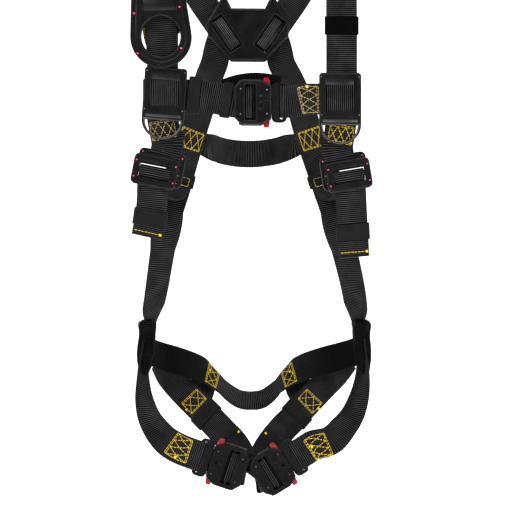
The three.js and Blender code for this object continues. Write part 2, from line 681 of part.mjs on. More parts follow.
const LINK = [
  [-3, 73, 99, -728, [0.76, 0.25, -0.55]],
  [-3, 76, 98, -738, [0.76, 0.24, -0.55]],
  [-3, 77, 93, -749, [0.77, 0.15, -0.55]],
  [-3, 81, 78, -758, [0.8, 0, -0.53]],
  [-3, 88, 68, -768, [0.8, -0.1, -0.52]],
  [-3, 94, 65, -777, [0.8, -0.1, -0.52]],
];
const HIP = [
  [0, 160, -5, -652.8, [0.4, -0.9, 0]],
  [0, 160.6, -4.6, -658.5, [0.4, -0.9, 0]],
  [0, 161.6, -4, -664.4, [0.4, -0.9, 0]],
];
const mirroredLeg = (s, list) =>
  list.map(([lean, half, y, z, [wx, wy, wz]]) => [lean + s * half, y, z, -s * wx, wy, wz]);

for (const [side, s] of Object.entries(SIDES)) {
  const frame = buckleFrame(LEG_BUCKLE[side]);
  const across = frame.across.map((w) => w * s);
  const floorEnd = frame.point(BUCKLE.floorBack - 0.3, BUCKLE_HALF_DEPTH - BUCKLE_WALL / 2, 0);
  const forward = frame.back.map((v) => -v);
  const backwards = frame.out.map((v) => -v);
  const underFloor = [[-14, 10], [-5, 11.4], [6, 16]].map(([lx, ly]) => frame.point(lx, ly, 0));
  const toBuckle = [
    ...frictionLoop(frame, [[-24, -3.4]]).slice(0, -1),
    ...wrap(floorEnd, forward, backwards, 3.2, 0, 180, 6, across),
    ...underFloor,
  ];
  const innerLeg = [
    ...mirroredLeg(s, INNER_LEG),
    ...toBuckle.reverse().map((p) => [...p.slice(0, 3), ...across]),
  ];
  addMesh("leg_inner_strap_" + side, ribbon(innerLeg), FINISH.webbing);
  const keeper = layerOn(innerLeg, 4.5, 0);
  addKeeper("leg_keeper_" + side, 24, 1, keeper.place, keeper.along, keeper.across);
  const sewnEnd = [[92, 15], [80, 9.5], [66, 4.6]];
  const loop = tongueLoop(frame, sewnEnd).map((p) => [...p.slice(0, 3), ...across]);
  const rise = [[60, -2.2], [72, 1.4]].map(([lx, ly]) => [...frame.point(lx, ly, 0), ...across]);
  addMesh(
    "leg_outer_strap_" + side,
    ribbon([...mirroredLeg(s, OUTER_LEG), ...[...loop, ...rise].reverse()]),
    FINISH.webbing,
  );
  addMesh("leg_link_" + side, ribbon(mirroredLeg(s, LINK)), FINISH.webbing);
  addMesh("hip_loop_" + side, ribbon(mirroredLeg(s, HIP), { width: 30, thickness: 5 }), FINISH.webbing);
}

export default harness;
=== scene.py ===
# The looks of a full-body safety harness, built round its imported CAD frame. Metres, +Z up, the wearer faces -Y.
import itertools
import json
import math
import random

import bmesh
import bpy
import numpy as np
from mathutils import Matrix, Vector
from mathutils.geometry import tessellate_polygon


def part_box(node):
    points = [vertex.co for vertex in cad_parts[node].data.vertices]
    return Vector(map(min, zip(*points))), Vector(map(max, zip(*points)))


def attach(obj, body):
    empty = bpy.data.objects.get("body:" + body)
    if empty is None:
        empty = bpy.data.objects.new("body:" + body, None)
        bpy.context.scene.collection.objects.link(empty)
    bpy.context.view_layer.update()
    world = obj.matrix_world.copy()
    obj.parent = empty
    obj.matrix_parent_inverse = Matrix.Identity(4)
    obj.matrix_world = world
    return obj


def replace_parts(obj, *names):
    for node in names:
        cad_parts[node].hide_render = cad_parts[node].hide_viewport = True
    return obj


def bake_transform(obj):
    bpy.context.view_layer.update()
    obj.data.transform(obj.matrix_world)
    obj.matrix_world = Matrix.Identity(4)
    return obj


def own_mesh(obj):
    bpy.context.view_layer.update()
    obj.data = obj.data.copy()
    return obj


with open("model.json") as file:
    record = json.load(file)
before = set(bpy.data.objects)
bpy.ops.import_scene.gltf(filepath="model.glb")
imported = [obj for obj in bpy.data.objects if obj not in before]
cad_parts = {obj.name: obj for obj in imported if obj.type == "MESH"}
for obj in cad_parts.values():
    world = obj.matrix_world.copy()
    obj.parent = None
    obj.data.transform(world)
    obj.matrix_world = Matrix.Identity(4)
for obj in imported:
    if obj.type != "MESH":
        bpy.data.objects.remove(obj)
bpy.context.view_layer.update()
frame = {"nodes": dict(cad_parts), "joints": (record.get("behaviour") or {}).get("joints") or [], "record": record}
scene = bpy.context.scene
random.seed(7)

MM = 0.001
RIB_PITCH = 2.9 * MM  # one rib of the webbing's weave, along the strap
RIB_HEIGHT = 0.26 * MM
WEB_WIDTH = 45 * MM
WEB_THICKNESS = 2 * MM
FRONT = (0, -1, 0)
BACK = (0, 1, 0)
SIDES = {"left": 1, "right": -1}


# ---- Camera, stage and light ----
def look_at(obj, target):
    direction = Vector(target) - obj.location
    obj.rotation_euler = direction.to_track_quat("-Z", "Y").to_euler()


camera = bpy.data.objects.new("camera", bpy.data.cameras.new("camera"))
scene.collection.objects.link(camera)
camera.location = (-0.073, -1.9, -0.54)
look_at(camera, (0, -0.06, -0.54))
camera.data.sensor_width = 36
camera.data.lens = 86.22
scene.camera = camera
scene.view_settings.view_transform = "Standard"

LIGHTS = [  # name, place, target, size, watts
    ("key", (-1.3, -1.7, 0.9), (0, 0, -0.4), 0.8, 34),
    ("fill", (1.6, -1.5, 0.1), (0, 0, -0.5), 1.0, 15),
    ("top", (0.1, -0.3, 1.6), (0, 0, -0.4), 1.0, 22),
    ("low", (0.2, -1.4, -1.0), (0, 0, -0.7), 0.7, 4),
    ("rim", (0.9, 1.3, 0.7), (0, 0, -0.4), 1.0, 16),
]
for name, place, target, size, watts in LIGHTS:
    light = bpy.data.objects.new(name, bpy.data.lights.new(name, "AREA"))
    light.data.size = size
    light.data.energy = watts
    light.location = place
    look_at(light, target)
    scene.collection.objects.link(light)

WORLD_AS_LIGHT = 0.16  # the world is white where the view meets it, and this dim as a light
world = bpy.data.worlds.new("studio")
world.use_nodes = True
nodes, links = world.node_tree.nodes, world.node_tree.links
nodes["Background"].inputs["Color"].default_value = (1, 1, 1, 1)
seen = nodes.new("ShaderNodeMapRange")
seen.inputs["To Min"].default_value = WORLD_AS_LIGHT
links.new(nodes.new("ShaderNodeLightPath").outputs["Is Camera Ray"], seen.inputs["Value"])
links.new(seen.outputs[0], nodes["Background"].inputs["Strength"])
scene.world = world


# ---- Materials ----
class Shader:
    """A node material being put together."""

    def __init__(self, name, **sockets):
        self.material = bpy.data.materials.new(name)
        self.material.use_nodes = True
        self.tree = self.material.node_tree
        self.bsdf = self.tree.nodes["Principled BSDF"]
        for key, value in sockets.items():
            self.bsdf.inputs[key.replace("_", " ")].default_value = value

    def node(self, kind, inputs=None, **settings):
        made = self.tree.nodes.new(kind)
        for key, value in settings.items():
            setattr(made, key, value)
        for key, value in (inputs or {}).items():
            self.join(value, made.inputs[key])
        return made

    def join(self, value, socket):
        if isinstance(value, bpy.types.NodeSocket):
            self.tree.links.new(value, socket)
        else:
            socket.default_value = value

    def math(self, operation, a, b=0.0):
        return self.node("ShaderNodeMath", {0: a, 1: b}, operation=operation).outputs[0]

    def ramp(self, value, stops):
        made = self.node("ShaderNodeValToRGB", {0: value})
        made.color_ramp.elements[0].position, made.color_ramp.elements[0].color = stops[0]
        made.color_ramp.elements[1].position, made.color_ramp.elements[1].color = stops[-1]
        for position, color in stops[1:-1]:
            made.color_ramp.elements.new(position).color = color
        return made.outputs[0]

    def remap(self, value, low, high, to_low, to_high):
        inputs = {0: value, 1: low, 2: high, 3: to_low, 4: to_high}
        return self.node("ShaderNodeMapRange", inputs).outputs[0]

    def place(self):
        return self.node("ShaderNodeTexCoord").outputs["Object"]

    def uv(self):
        split = self.node("ShaderNodeSeparateXYZ", {0: self.node("ShaderNodeTexCoord").outputs["UV"]})
        return split.outputs[0], split.outputs[1]

    def noise(self, scale, detail=3.0):
        inputs = {"Vector": self.place(), "Scale": scale, "Detail": detail, "Roughness": 0.55}
        return self.node("ShaderNodeTexNoise", inputs).outputs[0]

    def speckle(self, scale):
        inputs = {"Vector": self.place(), "Scale": scale}
        return self.node("ShaderNodeTexVoronoi", inputs).outputs[0]

    def wave(self, value, pitch):
        """0 to 1 and back over each pitch of value."""
        turned = self.math("SINE", self.math("MULTIPLY", value, 2 * math.pi / pitch))
        return self.remap(turned, -1.0, 1.0, 0.0, 1.0)

    def bump(self, height, distance, strength=1.0, below=None):
        inputs = {"Height": height, "Distance": distance, "Strength": strength}
        if below is not None:
            inputs["Normal"] = below
        return self.node("ShaderNodeBump", inputs).outputs[0]

    def done(self, color, roughness, normal=None):
        for key, value in {"Base Color": color, "Roughness": roughness, "Normal": normal}.items():
            if value is not None:
                self.join(value, self.bsdf.inputs[key])
        return self.material


def grey(value, tint=(1, 1, 1)):
    return tuple(value * t for t in tint) + (1,)


COOL = (1, 1, 1.04)  # webbing's tint


def webbing_material(name, crest, shine, dim=None):
    """Ribbed webbing. dim is (near, far, share): its colour falls to share between these distances from x = 0, which is
    painted shade for the seat strap's ends in the hips' shadow.
    """
    s = Shader(name, Sheen_Weight=0.01 * shine, Sheen_Roughness=0.4, Specular_IOR_Level=0.1 * shine)
    across, along = s.uv()
    rib = s.wave(along, RIB_PITCH)
    yarn = s.wave(across, 1.1 * MM)
    worn = s.noise(38, 4)
    # Painted light: the ribs' crests get a lighter colour and their valleys a near-black one, a painted highlight on
    # the crests and painted shade between them; crest is the colour of that painted highlight, and fleck carries it
    # times the weave's fine stripes.
    lit = s.math("MULTIPLY", s.math("POWER", rib, 3.2), s.remap(worn, 0.3, 0.75, 0.65, 1.15))
    fleck = s.math("MULTIPLY", s.remap(yarn, 0, 1, 0.72, 1.0), lit)
    # Painted shade: the colour darkens away from x = 0, standing for the shadow on the seat strap's ends at the hips.
    if dim:
        x = s.math("ABSOLUTE", s.node("ShaderNodeSeparateXYZ", {0: s.place()}).outputs[0])
        fleck = s.math("MULTIPLY", fleck, s.remap(x, dim[0], dim[1], 1.0, dim[2]))
    color = s.ramp(fleck, [(0, grey(0.0007)), (0.5, grey(crest * 0.2, COOL)), (1, grey(crest, COOL))])
    rough = s.remap(worn, 0.3, 0.7, 0.5, 0.68)
    weave = s.bump(yarn, 0.00007)
    return s.done(color, rough, s.bump(s.noise(900, 2), 0.00005, 0.6, weave))


def elastic_material(name, crest, shine):
    s = Shader(name, Sheen_Weight=0.03 * shine, Sheen_Roughness=0.5, Specular_IOR_Level=0.05 * shine)
    across, along = s.uv()
    cord = s.wave(along, 1.0 * MM)
    knit = s.wave(across, 0.8 * MM)
    height = s.math("MULTIPLY", cord, knit)
    color = s.ramp(s.math("MULTIPLY", height, s.noise(50)), [(0, grey(crest * 0.07)), (1, grey(crest))])
    return s.done(color, s.remap(s.noise(60), 0.3, 0.7, 0.72, 0.86), s.bump(height, 0.00012))


def thread_material(name, color):
    s = Shader(name, Sheen_Weight=0.08, Specular_IOR_Level=0.2)
    shade = s.ramp(s.noise(420), [(0.25, tuple(0.62 * c for c in color) + (1,)), (0.7, tuple(color) + (1,))])
    return s.done(shade, s.remap(s.noise(300), 0.3, 0.7, 0.45, 0.7), s.bump(s.noise(2600, 1), 0.0001))


def coated_material(name, lift, gloss):
    s = Shader(name, Specular_IOR_Level=gloss)
    grain = s.noise(1500, 2)
    fleck = s.speckle(620)
    edge = s.node("ShaderNodeNewGeometry").outputs["Pointiness"]
    worn = s.math("MULTIPLY", s.remap(edge, 0.52, 0.62, 0, 1), s.remap(s.noise(90, 4), 0.4, 0.6, 0.2, 1))
    base = s.math("ADD", s.remap(fleck, 0.0, 0.16, 0.02, 0.0), s.remap(s.noise(30), 0.3, 0.7, 0.0, 0.006))
    value = s.math("ADD", base, s.math("MULTIPLY", worn, 0.1))
    color = s.ramp(value, [(0, grey(0.003 + lift)), (0.1, grey(0.03 + lift)), (1, grey(0.2))])
    rough = s.remap(s.noise(120, 3), 0.3, 0.7, 0.26, 0.36)
    return s.done(color, rough, s.bump(grain, 0.00006, 0.7))


def steel_material(name, bright):
    s = Shader(name, Metallic=1.0)
    streak = s.noise(700, 3)
    color = s.ramp(streak, [(0.3, grey(bright / 2)), (0.7, grey(bright, (1, 1, 1.03)))])
    return s.done(color, s.remap(streak, 0.3, 0.7, 0.26, 0.42), s.bump(streak, 0.00004))


def paint_material(name, specular, dark, bright, scales, rough, bump):
    """A smooth colour; scales are those of its mottling, its gloss and its grain."""
    s = Shader(name, Specular_IOR_Level=specular)
    color = s.ramp(s.noise(scales[0]), [(0.3, dark + (1,)), (0.7, bright + (1,))])
    return s.done(color, s.remap(s.noise(scales[1]), 0.3, 0.7, *rough), s.bump(s.noise(scales[2]), bump))


def pad_material(name):
    s = Shader(name, Specular_IOR_Level=0.3)
    leather = s.speckle(900)
    color = s.ramp(s.noise(22, 5), [(0.3, grey(0.0012)), (0.75, grey(0.004))])
    height = s.math("ADD", s.math("MULTIPLY", leather, 0.6), s.noise(500))
    return s.done(color, s.remap(s.noise(45, 4), 0.3, 0.7, 0.26, 0.42), s.bump(height, 0.00012, 0.7))


def floor_material():
    s = Shader("floor", Specular_IOR_Level=0.1)
    color = s.ramp(s.noise(1.5), [(0.3, grey(0.9)), (0.7, grey(0.93))])
    s.bsdf.inputs["Emission Color"].default_value = (1, 1, 1, 1)
    s.bsdf.inputs["Emission Strength"].default_value = 0.9
    return s.done(color, 0.85)


RED = (0.24, 0.004, 0.007), (0.36, 0.007, 0.011)  # darkest and brightest
PINK = (0.75, 0.02, 0.09), (0.95, 0.06, 0.16)
MATERIALS = [  # look, its maker and what the maker is given
    ("webbing", webbing_material, 0.1, 0.55),
    # painted shade on the seat strap's ends, where they meet the hips
    ("webbing_seat", webbing_material, 0.1, 0.4, (0.06, 0.125, 0.2)),
    # a brighter copy of the webbing: painted highlight, for the convex rolls in the back plate's slots
    ("webbing_lit", webbing_material, 0.24, 1.0),
    # a darker copy of the webbing: painted shade, for webbing that lies in shadow
    ("webbing_dull", webbing_material, 0.02, 0.3),
    ("elastic", elastic_material, 0.055, 1.0),
    ("elastic_deep", elastic_material, 0.012, 0.2),
    ("thread", thread_material, (0.95, 0.66, 0.03)),
    ("thread_tan", thread_material, (0.6, 0.42, 0.16)),
    ("coated", coated_material, 0.0, 0.22),
    # a lighter copy of the coating: its lighter colour is painted sheen, for the chest frames' metallic lower bars; its
    # higher gloss is real
    ("coated_worn", coated_material, 0.022, 0.5),
    ("coated_deep", coated_material, -0.002, 0.08),
    ("steel", steel_material, 0.3),
    ("blackened", steel_material, 0.13),
    ("red", paint_material, 0.2, *RED, (80, 200, 900), (0.25, 0.4), 0.00003),
    ("indicator", paint_material, 0.5, *PINK, (400, 500, 1500), (0.3, 0.45), 0.00002),
    ("pad", pad_material),
]
LOOK = {look: make(look, *given) for look, make, *given in MATERIALS}
SLOT = {look: look.split("_")[0] for look in LOOK}  # the record's material slot for each look
SLOT.update(thread="webbing", thread_tan="webbing", blackened="steel", indicator="red")


# ---- Mesh building ----
WELD = 0.001 * MM


def unit(v):
    """The vector, or each row of vectors, at length 1."""
    return v / np.linalg.norm(v, axis=-1, keepdims=True)


def circle(centre, radius, e1, e2, count):
    """Points round a centre, in the plane of e1 and e2."""
    return [centre + radius * (math.cos(a) * e1 + math.sin(a) * e2) for a in 2 * math.pi * np.arange(count) / count]


class Shape:
    """Vertices, faces and a UV for each vertex, gathered before they become an object."""

    def __init__(self):
        self.points, self.uvs, self.faces, self.count = [], [], [], 0

    def add(self, points, faces, uvs=None):
        points = np.asarray(points, float).reshape(-1, 3)
        self.points.append(points)
        self.uvs.append(np.zeros((len(points), 2)) if uvs is None else np.asarray(uvs, float))
        self.faces += [tuple(i + self.count for i in f) for f in faces]
        self.count += len(points)

    def grid(self, rows, uvs=None, closed=True, caps=True):
        """Joins rows of points into quads; closed joins each row's end to its start."""
        n, m = len(rows), len(rows[0])
        wrap = m if closed else m - 1
        faces = []
        for i in range(n - 1):
            a, b = i * m, (i + 1) * m
            faces += [(a + j, a + (j + 1) % m, b + (j + 1) % m, b + j) for j in range(wrap)]
        if caps and closed:
            faces += [tuple(reversed(range(m))), tuple(range((n - 1) * m, n * m))]
        self.add(np.concatenate([np.asarray(r, float) for r in rows]), faces, uvs)


def made(build, *args, **settings):
    """A new Shape that build has filled."""
    shape = Shape()
    build(shape, *args, **settings)
    return shape


def to_object(name, shape, look, body, smooth=None, weighted=False):
    """The shape, welded and with every face outwards, as a piece. Edges over smooth degrees stay sharp."""
    mesh = bpy.data.meshes.new(name)
    points = np.concatenate(shape.points)
    mesh.from_pydata(points.tolist(), [], shape.faces)
    mesh.materials.append(LOOK[look])
    layer = mesh.uv_layers.new(name="UVMap")
    corners = np.zeros(len(mesh.loops), int)
    mesh.loops.foreach_get("vertex_index", corners)
    layer.data.foreach_set("uv", np.concatenate(shape.uvs)[corners].astype(np.float32).ravel())
    joined = bmesh.new()
    joined.from_mesh(mesh)
    bmesh.ops.remove_doubles(joined, verts=joined.verts, dist=WELD)
    bmesh.ops.recalc_face_normals(joined, faces=joined.faces)
    joined.to_mesh(mesh)
    joined.free()
    mesh.shade_smooth()
    if smooth is not None:
        mesh.set_sharp_from_angle(angle=math.radians(smooth))
    mesh.validate()
    obj = bpy.data.objects.new(name, mesh)
    scene.collection.objects.link(obj)
    if weighted:
        modifier = obj.modifiers.new("weighted", "WEIGHTED_NORMAL")
        modifier.keep_sharp = True
        bake_modifiers(obj)
    if body:
        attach(obj, body)
    return obj


def bake_modifiers(obj):
    bpy.context.view_layer.update()
    evaluated = obj.evaluated_get(bpy.context.evaluated_depsgraph_get())
    mesh = bpy.data.meshes.new_from_object(evaluated)
    obj.modifiers.clear()
    obj.data = mesh


BODY_OF = {node: body for body, nodes in frame["record"]["behaviour"]["bodies"].items() for node in nodes}


def joint_of(body):
    """The joint that moves a body."""
    return next(j for j in frame["joints"] if j["child"] == body)


def welded(node):
    """The CAD node's distinct points and its triangles."""
    mesh = frame["nodes"][node].data
    seen, index, points = {}, [], []
    for v in mesh.vertices:
        key = tuple(round(c * 1e5) for c in v.co)
        if key not in seen:
            seen[key] = len(points)
            points.append(tuple(v.co))
        index.append(seen[key])
    mesh.calc_loop_triangles()
    return np.array(points), [tuple(index[i] for i in t.vertices) for t in mesh.loop_triangles]


# ---- Straps, read back from their CAD bands ----
EDGE_ON = 0.15  # a face turned further from the viewer than this is passed over when another is near
EDGE_PENALTY = 4 * MM
ROWS_RIBBED, ROWS_PLAIN = 4, 1.6  # rows of points to each rib's pitch
FLAT_COLUMNS = 7  # points across each face of a strap
SELVEDGE_RIB = 0.25  # share of the ribs' height that shows on the selvedges
FOLD_GAP = 0.3 * MM


def cross_sections(node):
    """The band's four-cornered sections in order, found by walking outwards from one end."""
    points, triangles = welded(node)
    near = [set() for _ in points]
    for a, b, c in triangles:
        near[a] |= {b, c}
        near[b] |= {a, c}
        near[c] |= {a, b}
    edges = {}
    for t in triangles:
        for pair in itertools.combinations(sorted(t), 2):
            edges.setdefault(pair, []).append(set(t))
    for first, second in edges.values():
        layer = first | second
        seen, found = set(layer), [sorted(layer)]
        while True:
            layer = set().union(*(near[i] for i in layer)) - seen
            if len(layer) != 4:
                break
            found.append(sorted(layer))
            seen |= layer
        if not layer and len(seen) == len(points):
            return points, found
    raise ValueError("no sections in " + node)


def ordered_corners(points, sections):
    """Each section's corners as [side-, side+] x [face-, face+], kept in step along the band."""
    quads = [points[s] for s in sections]
    first = quads[0]
    lengths = [np.linalg.norm(first[i] - first[0]) for i in range(4)]
    order = sorted(range(1, 4), key=lambda i: lengths[i])
    quad = first[[0, order[0], order[1], order[2]]]
    rows = [quad]
    for q in quads[1:]:
        previous = rows[-1] - rows[-1].mean(0)
        loose = q - q.mean(0)
        best = min(itertools.permutations(range(4)), key=lambda p: ((loose[list(p)] - previous) ** 2).sum())
        rows.append(q[list(best)])
    return np.array(rows)


class Strap:
    """A band by its middle line and width direction, measured along its length."""

    def __init__(self, middles, sides, width=WEB_WIDTH, thickness=WEB_THICKNESS):
        self.middles = np.asarray(middles, float)
        self.sides = unit(np.asarray(sides, float))
        self.width, self.thickness = width, thickness
        steps = np.linalg.norm(np.diff(self.middles, axis=0), axis=1)
        self.marks = np.concatenate([[0], np.cumsum(steps)])
        self.length = self.marks[-1]
        self.slopes = np.gradient(self.middles, self.marks, axis=0)

    @classmethod
    def from_node(cls, node):
        rows = ordered_corners(*cross_sections(node))
        if rows[0].mean(0)[2] < rows[-1].mean(0)[2]:
            rows = rows[::-1]
        sides = (rows[:, 2] + rows[:, 3]) - (rows[:, 0] + rows[:, 1])
        width = np.linalg.norm(rows[0][2] - rows[0][0])
        thickness = np.linalg.norm(rows[0][1] - rows[0][0])
        if sides[0] @ np.array([1, 0.5, 0.25]) < 0:
            sides = -sides
        return cls(rows.mean(1), sides, width, thickness)

    def at(self, s):
        s = np.clip(np.atleast_1d(np.asarray(s, float)), 0, self.length)
        i = np.clip(np.searchsorted(self.marks, s, side="right") - 1, 0, len(self.marks) - 2)
        h = self.marks[i + 1] - self.marks[i]
        t = ((s - self.marks[i]) / h)[:, None]
        p0, p1 = self.middles[i], self.middles[i + 1]
        m0, m1 = self.slopes[i] * h[:, None], self.slopes[i + 1] * h[:, None]
        point = (2 * t**3 - 3 * t**2 + 1) * p0 + (t**3 - 2 * t**2 + t) * m0
        point += (3 * t**2 - 2 * t**3) * p1 + (t**3 - t**2) * m1
        along = unit((6 * t**2 - 6 * t) * (p0 - p1) + (3 * t**2 - 4 * t + 1) * m0 + (3 * t**2 - 2 * t) * m1)
        side = self.sides[i] * (1 - t) + self.sides[i + 1] * t
        side = unit(side - along * (side * along).sum(1)[:, None])
        return point, along, side, np.cross(along, side)

    def surface(self, s, u, face, lift=0.0):
        """Points on one face, at distances s along and u across."""
        point, _, side, normal = self.at(s)
        u = np.broadcast_to(np.asarray(u, float), (len(point),))
        return point + side * u[:, None] + normal * face * (self.thickness / 2 + lift)

    def find(self, target):
        """(s, u, face) of the point of the strap nearest to target, on the face towards the front."""
        s = np.linspace(0, self.length, int(self.length / MM) + 2)
        point, _, side, normal = self.at(s)
        offset = np.asarray(target, float) - point
        u = np.clip((offset * side).sum(1), -self.width / 2, self.width / 2)
        near = np.linalg.norm(offset - side * u[:, None], axis=1)
        towards = normal @ np.array(FRONT, float)
        k = int((near + EDGE_PENALTY * (np.abs(towards) < EDGE_ON)).argmin())
        return s[k], u[k], 1 if towards[k] > 0 else -1

    def mesh(self, shape, ribs=True, taper=None):
        """The woven band: two ribbed faces and round selvedges. taper(share) scales the width."""
        rows = max(6, int(round(self.length / RIB_PITCH * (ROWS_RIBBED if ribs else ROWS_PLAIN))))
        s = np.linspace(0, self.length, rows + 1)
        point, _, side, normal = self.at(s)
        half, thick = self.width / 2, self.thickness / 2
        scale = np.ones(len(s)) if taper is None else np.array([taper(x / self.length) for x in s])
        rib = RIB_HEIGHT * 0.5 * np.sin(2 * math.pi * s / RIB_PITCH) if ribs else np.zeros(len(s))
        flat = np.linspace(-1, 1, FLAT_COLUMNS) * (half - thick)
        section = [(u, thick, 1) for u in flat]
        section += [(half - thick * (1 - math.cos(a)), thick * math.sin(a), SELVEDGE_RIB) for a in (0.9, 0, -0.9)]
        section += [(u, -thick, 1) for u in flat[::-1]]
        section += [(-half + thick * (1 - math.cos(a)), thick * math.sin(a), SELVEDGE_RIB) for a in (-0.9, 0, 0.9)]
        points, uvs = [], []
        for u, n, share in section:
            lift = n + math.copysign(1, n) * rib * share * (abs(n) > 0)
            points.append(point + side * (u * scale)[:, None] + normal * lift[:, None])
            uvs.append(np.stack([np.full(len(s), u), s], axis=1))
        rows = np.stack(points, axis=1)[:, ::-1]
        shape.grid(rows, np.stack(uvs, axis=1)[:, ::-1].reshape(-1, 2))

    def fold(self, length, face):
        """A second layer turned back over the strap's last stretch."""
        s = np.linspace(self.length - length, self.length, 8)
        point, along, side, normal = self.at(s)
        rise = self.thickness + FOLD_GAP
        top = point + normal * face * rise
        end, ahead = point[-1], along[-1]
        arc = [
            end + normal[-1] * face * rise / 2 * (1 + math.cos(a)) + ahead * rise / 2 * math.sin(a) * 1.6
            for a in np.linspace(0, math.pi, 7)[1:]
        ]
        return Strap(np.concatenate([top, arc]), np.concatenate([side, np.repeat(side[-1:], 6, 0)]), self.width)


# ---- Stitching: real dashes of thread on a strap's face ----
THREAD_RADIUS = 0.5 * MM
STITCH = 3.9 * MM
STITCH_GAP = 1.0 * MM
DASH_FROM, DASH_TO, DASH_PLAY = 0.1, 0.92, 0.03  # shares of a stitch's length
# A dash's sections: share of its length, and rise and size as shares of the thread's radius.
DASH_SHAPE = [(0, -0.2, 0.45), (0.15, 0.32, 0.95), (0.5, 0.5, 1), (0.85, 0.32, 0.95), (1, -0.2, 0.45)]
KNOT_STRANDS, KNOT_PITCH, KNOT_TILT, KNOT_THREAD = 5, 0.55 * MM, 0.5 * MM, 1.7 * THREAD_RADIUS
DOUBLE_ROW = 2.3 * MM  # between the two rows at each end of a sewn box
BOX_EDGE = 1.5 * MM  # the least webbing left outside a sewn box


def sew(shape, strap, path, face, closed=False, lift=0.0):
    """Lays dashes along a path of (s, u) points on one face of a strap."""
    path = [np.array(p, float) for p in (path + path[:1] if closed else path)]
    for start, stop in zip(path, path[1:]):
        run = np.linalg.norm(stop - start)
        count = max(1, int(round(run / (STITCH + STITCH_GAP))))
        for k in range(count):
            a = (k + DASH_FROM + random.uniform(-DASH_PLAY, DASH_PLAY)) / count
            b = (k + DASH_TO + random.uniform(-DASH_PLAY, DASH_PLAY)) / count
            ends = start + (stop - start) * a, start + (stop - start) * b
            dash(shape, strap, *ends, face, THREAD_RADIUS, lift)


def dash(shape, strap, start, stop, face, radius, lift):
    """One stitch from start to stop, both (s, u), that dips into the strap at its ends."""
    shares, rises, sizes = np.array(DASH_SHAPE).T
    flat = start + (stop - start) * shares[:, None]
    normal = strap.at(flat[:, 0])[3] * face
    line = strap.surface(flat[:, 0], flat[:, 1], face, lift) + normal * (rises * radius)[:, None]
    ahead = unit(line[-1] - line[0])
    rows = []
    for p, n, size in zip(line, normal, sizes):
        right = unit(np.cross(n, ahead))
        rows.append(circle(p, radius * size, right, np.cross(ahead, right), 6))
    shape.grid(rows)


def box_stitch(shape, strap, centre, length, width, crosses):
    """A sewn box: border lines round a row of crosses that are stacked across the strap's width."""
    s, u, face = strap.find(centre)
    room = max(0, (strap.width - width) / 2 - BOX_EDGE)
    u = min(max(u, -room), room)
    a, b = s - length / 2, s + length / 2
    low, high = u - width / 2, u + width / 2
    sew(shape, strap, [(a, low), (b, low), (b, high), (a, high)], face, closed=True)
    a, b = a + DOUBLE_ROW, b - DOUBLE_ROW
    sew(shape, strap, [(a, low), (a, high)], face)
    sew(shape, strap, [(b, low), (b, high)], face)
    levels = np.linspace(low, high, crosses + 1)
    sew(shape, strap, [(a if i % 2 else b, level) for i, level in enumerate(levels)], face)
    sew(shape, strap, [(b if i % 2 else a, level) for i, level in enumerate(levels)], face)


def knot(shape, strap, s, u, face, size, lift=0.0):
    """A short run of back-tacked thread."""
    for k in range(KNOT_STRANDS):
        shift = (k - KNOT_STRANDS // 2) * KNOT_PITCH
        tilt = random.uniform(-KNOT_TILT, KNOT_TILT)
        ends = (np.array([s + shift + tilt, u - size / 2]), np.array([s + shift - tilt, u + size / 2]))
        dash(shape, strap, *ends, face, KNOT_THREAD, lift)


# ---- Plates, sleeves and mouldings, read back from their CAD outlines ----
FACE_DEPTH = 0.05 * MM  # points this near the outermost one are on its flat face
STRAIGHT, CORNER = 1.5, 50  # degrees: turns between these are eased
EASE_CUT = 1.5 * MM
MITRE_LEAST = 0.35  # holds the inset of a sharp corner
BEAD_SUNK, BEAD_ROOT = 0.1 * MM, 0.6 * MM
DOME_SUNK = 0.4 * MM


def flat_loops(node, normal):
    """The outline and holes of the flat face furthest along normal, with the body's two end depths."""
    points, triangles = welded(node)
    normal = np.asarray(normal, float)
    depth = points @ normal
    top, bottom = depth.max(), depth.min()
    edges = set()
    for t in triangles:
        if all(depth[i] > top - FACE_DEPTH for i in t):
            edges |= {(t[0], t[1]), (t[1], t[2]), (t[2], t[0])}
    after = {a: b for a, b in edges if (b, a) not in edges}
    loops = []
    while after:
        start, loop = next(iter(sorted(after))), []
        here = start
        while here in after:
            loop.append(points[here])
            here = after.pop(here)
        loops.append(np.array(loop))
    return loops, top, bottom


def plane_axes(normal):
    n = np.asarray(normal, float)
    helper = np.array([0, 0, 1.0]) if abs(n[2]) < 0.8 else np.array([1.0, 0, 0])
    e1 = unit(np.cross(helper, n))
    return e1, np.cross(n, e1), n


def eased(loop):
    """Cuts gentle corners twice, so that arcs read as curves and true corners stay."""
    for _ in range(2):
        out = []
        for a, b, c in zip(np.roll(loop, 1, 0), loop, np.roll(loop, -1, 0)):
            back, on = a - b, c - b
            lengths = np.linalg.norm(back), np.linalg.norm(on)
            turn = math.degrees(math.acos(np.clip(-(back @ on) / (lengths[0] * lengths[1]), -1, 1)))
            if not STRAIGHT <= turn <= CORNER:
                out.append(b)
                continue
            cut = min(min(lengths) / 4, EASE_CUT)
            out += [b + back / lengths[0] * cut, b + on / lengths[1] * cut]
        loop = np.array(out)
    return loop


def left_of(v):
    return np.stack([-v[:, 1], v[:, 0]], axis=1)


def inset(loop, distance):
    """The loop moved to its left, which is into the material for outlines and holes alike."""
    before = unit(loop - np.roll(loop, 1, 0))
    after = unit(np.roll(loop, -1, 0) - loop)
    mitre = left_of(before) + left_of(after)
    mitre /= np.maximum((mitre * left_of(before)).sum(1), MITRE_LEAST)[:, None]
    return loop + mitre * distance


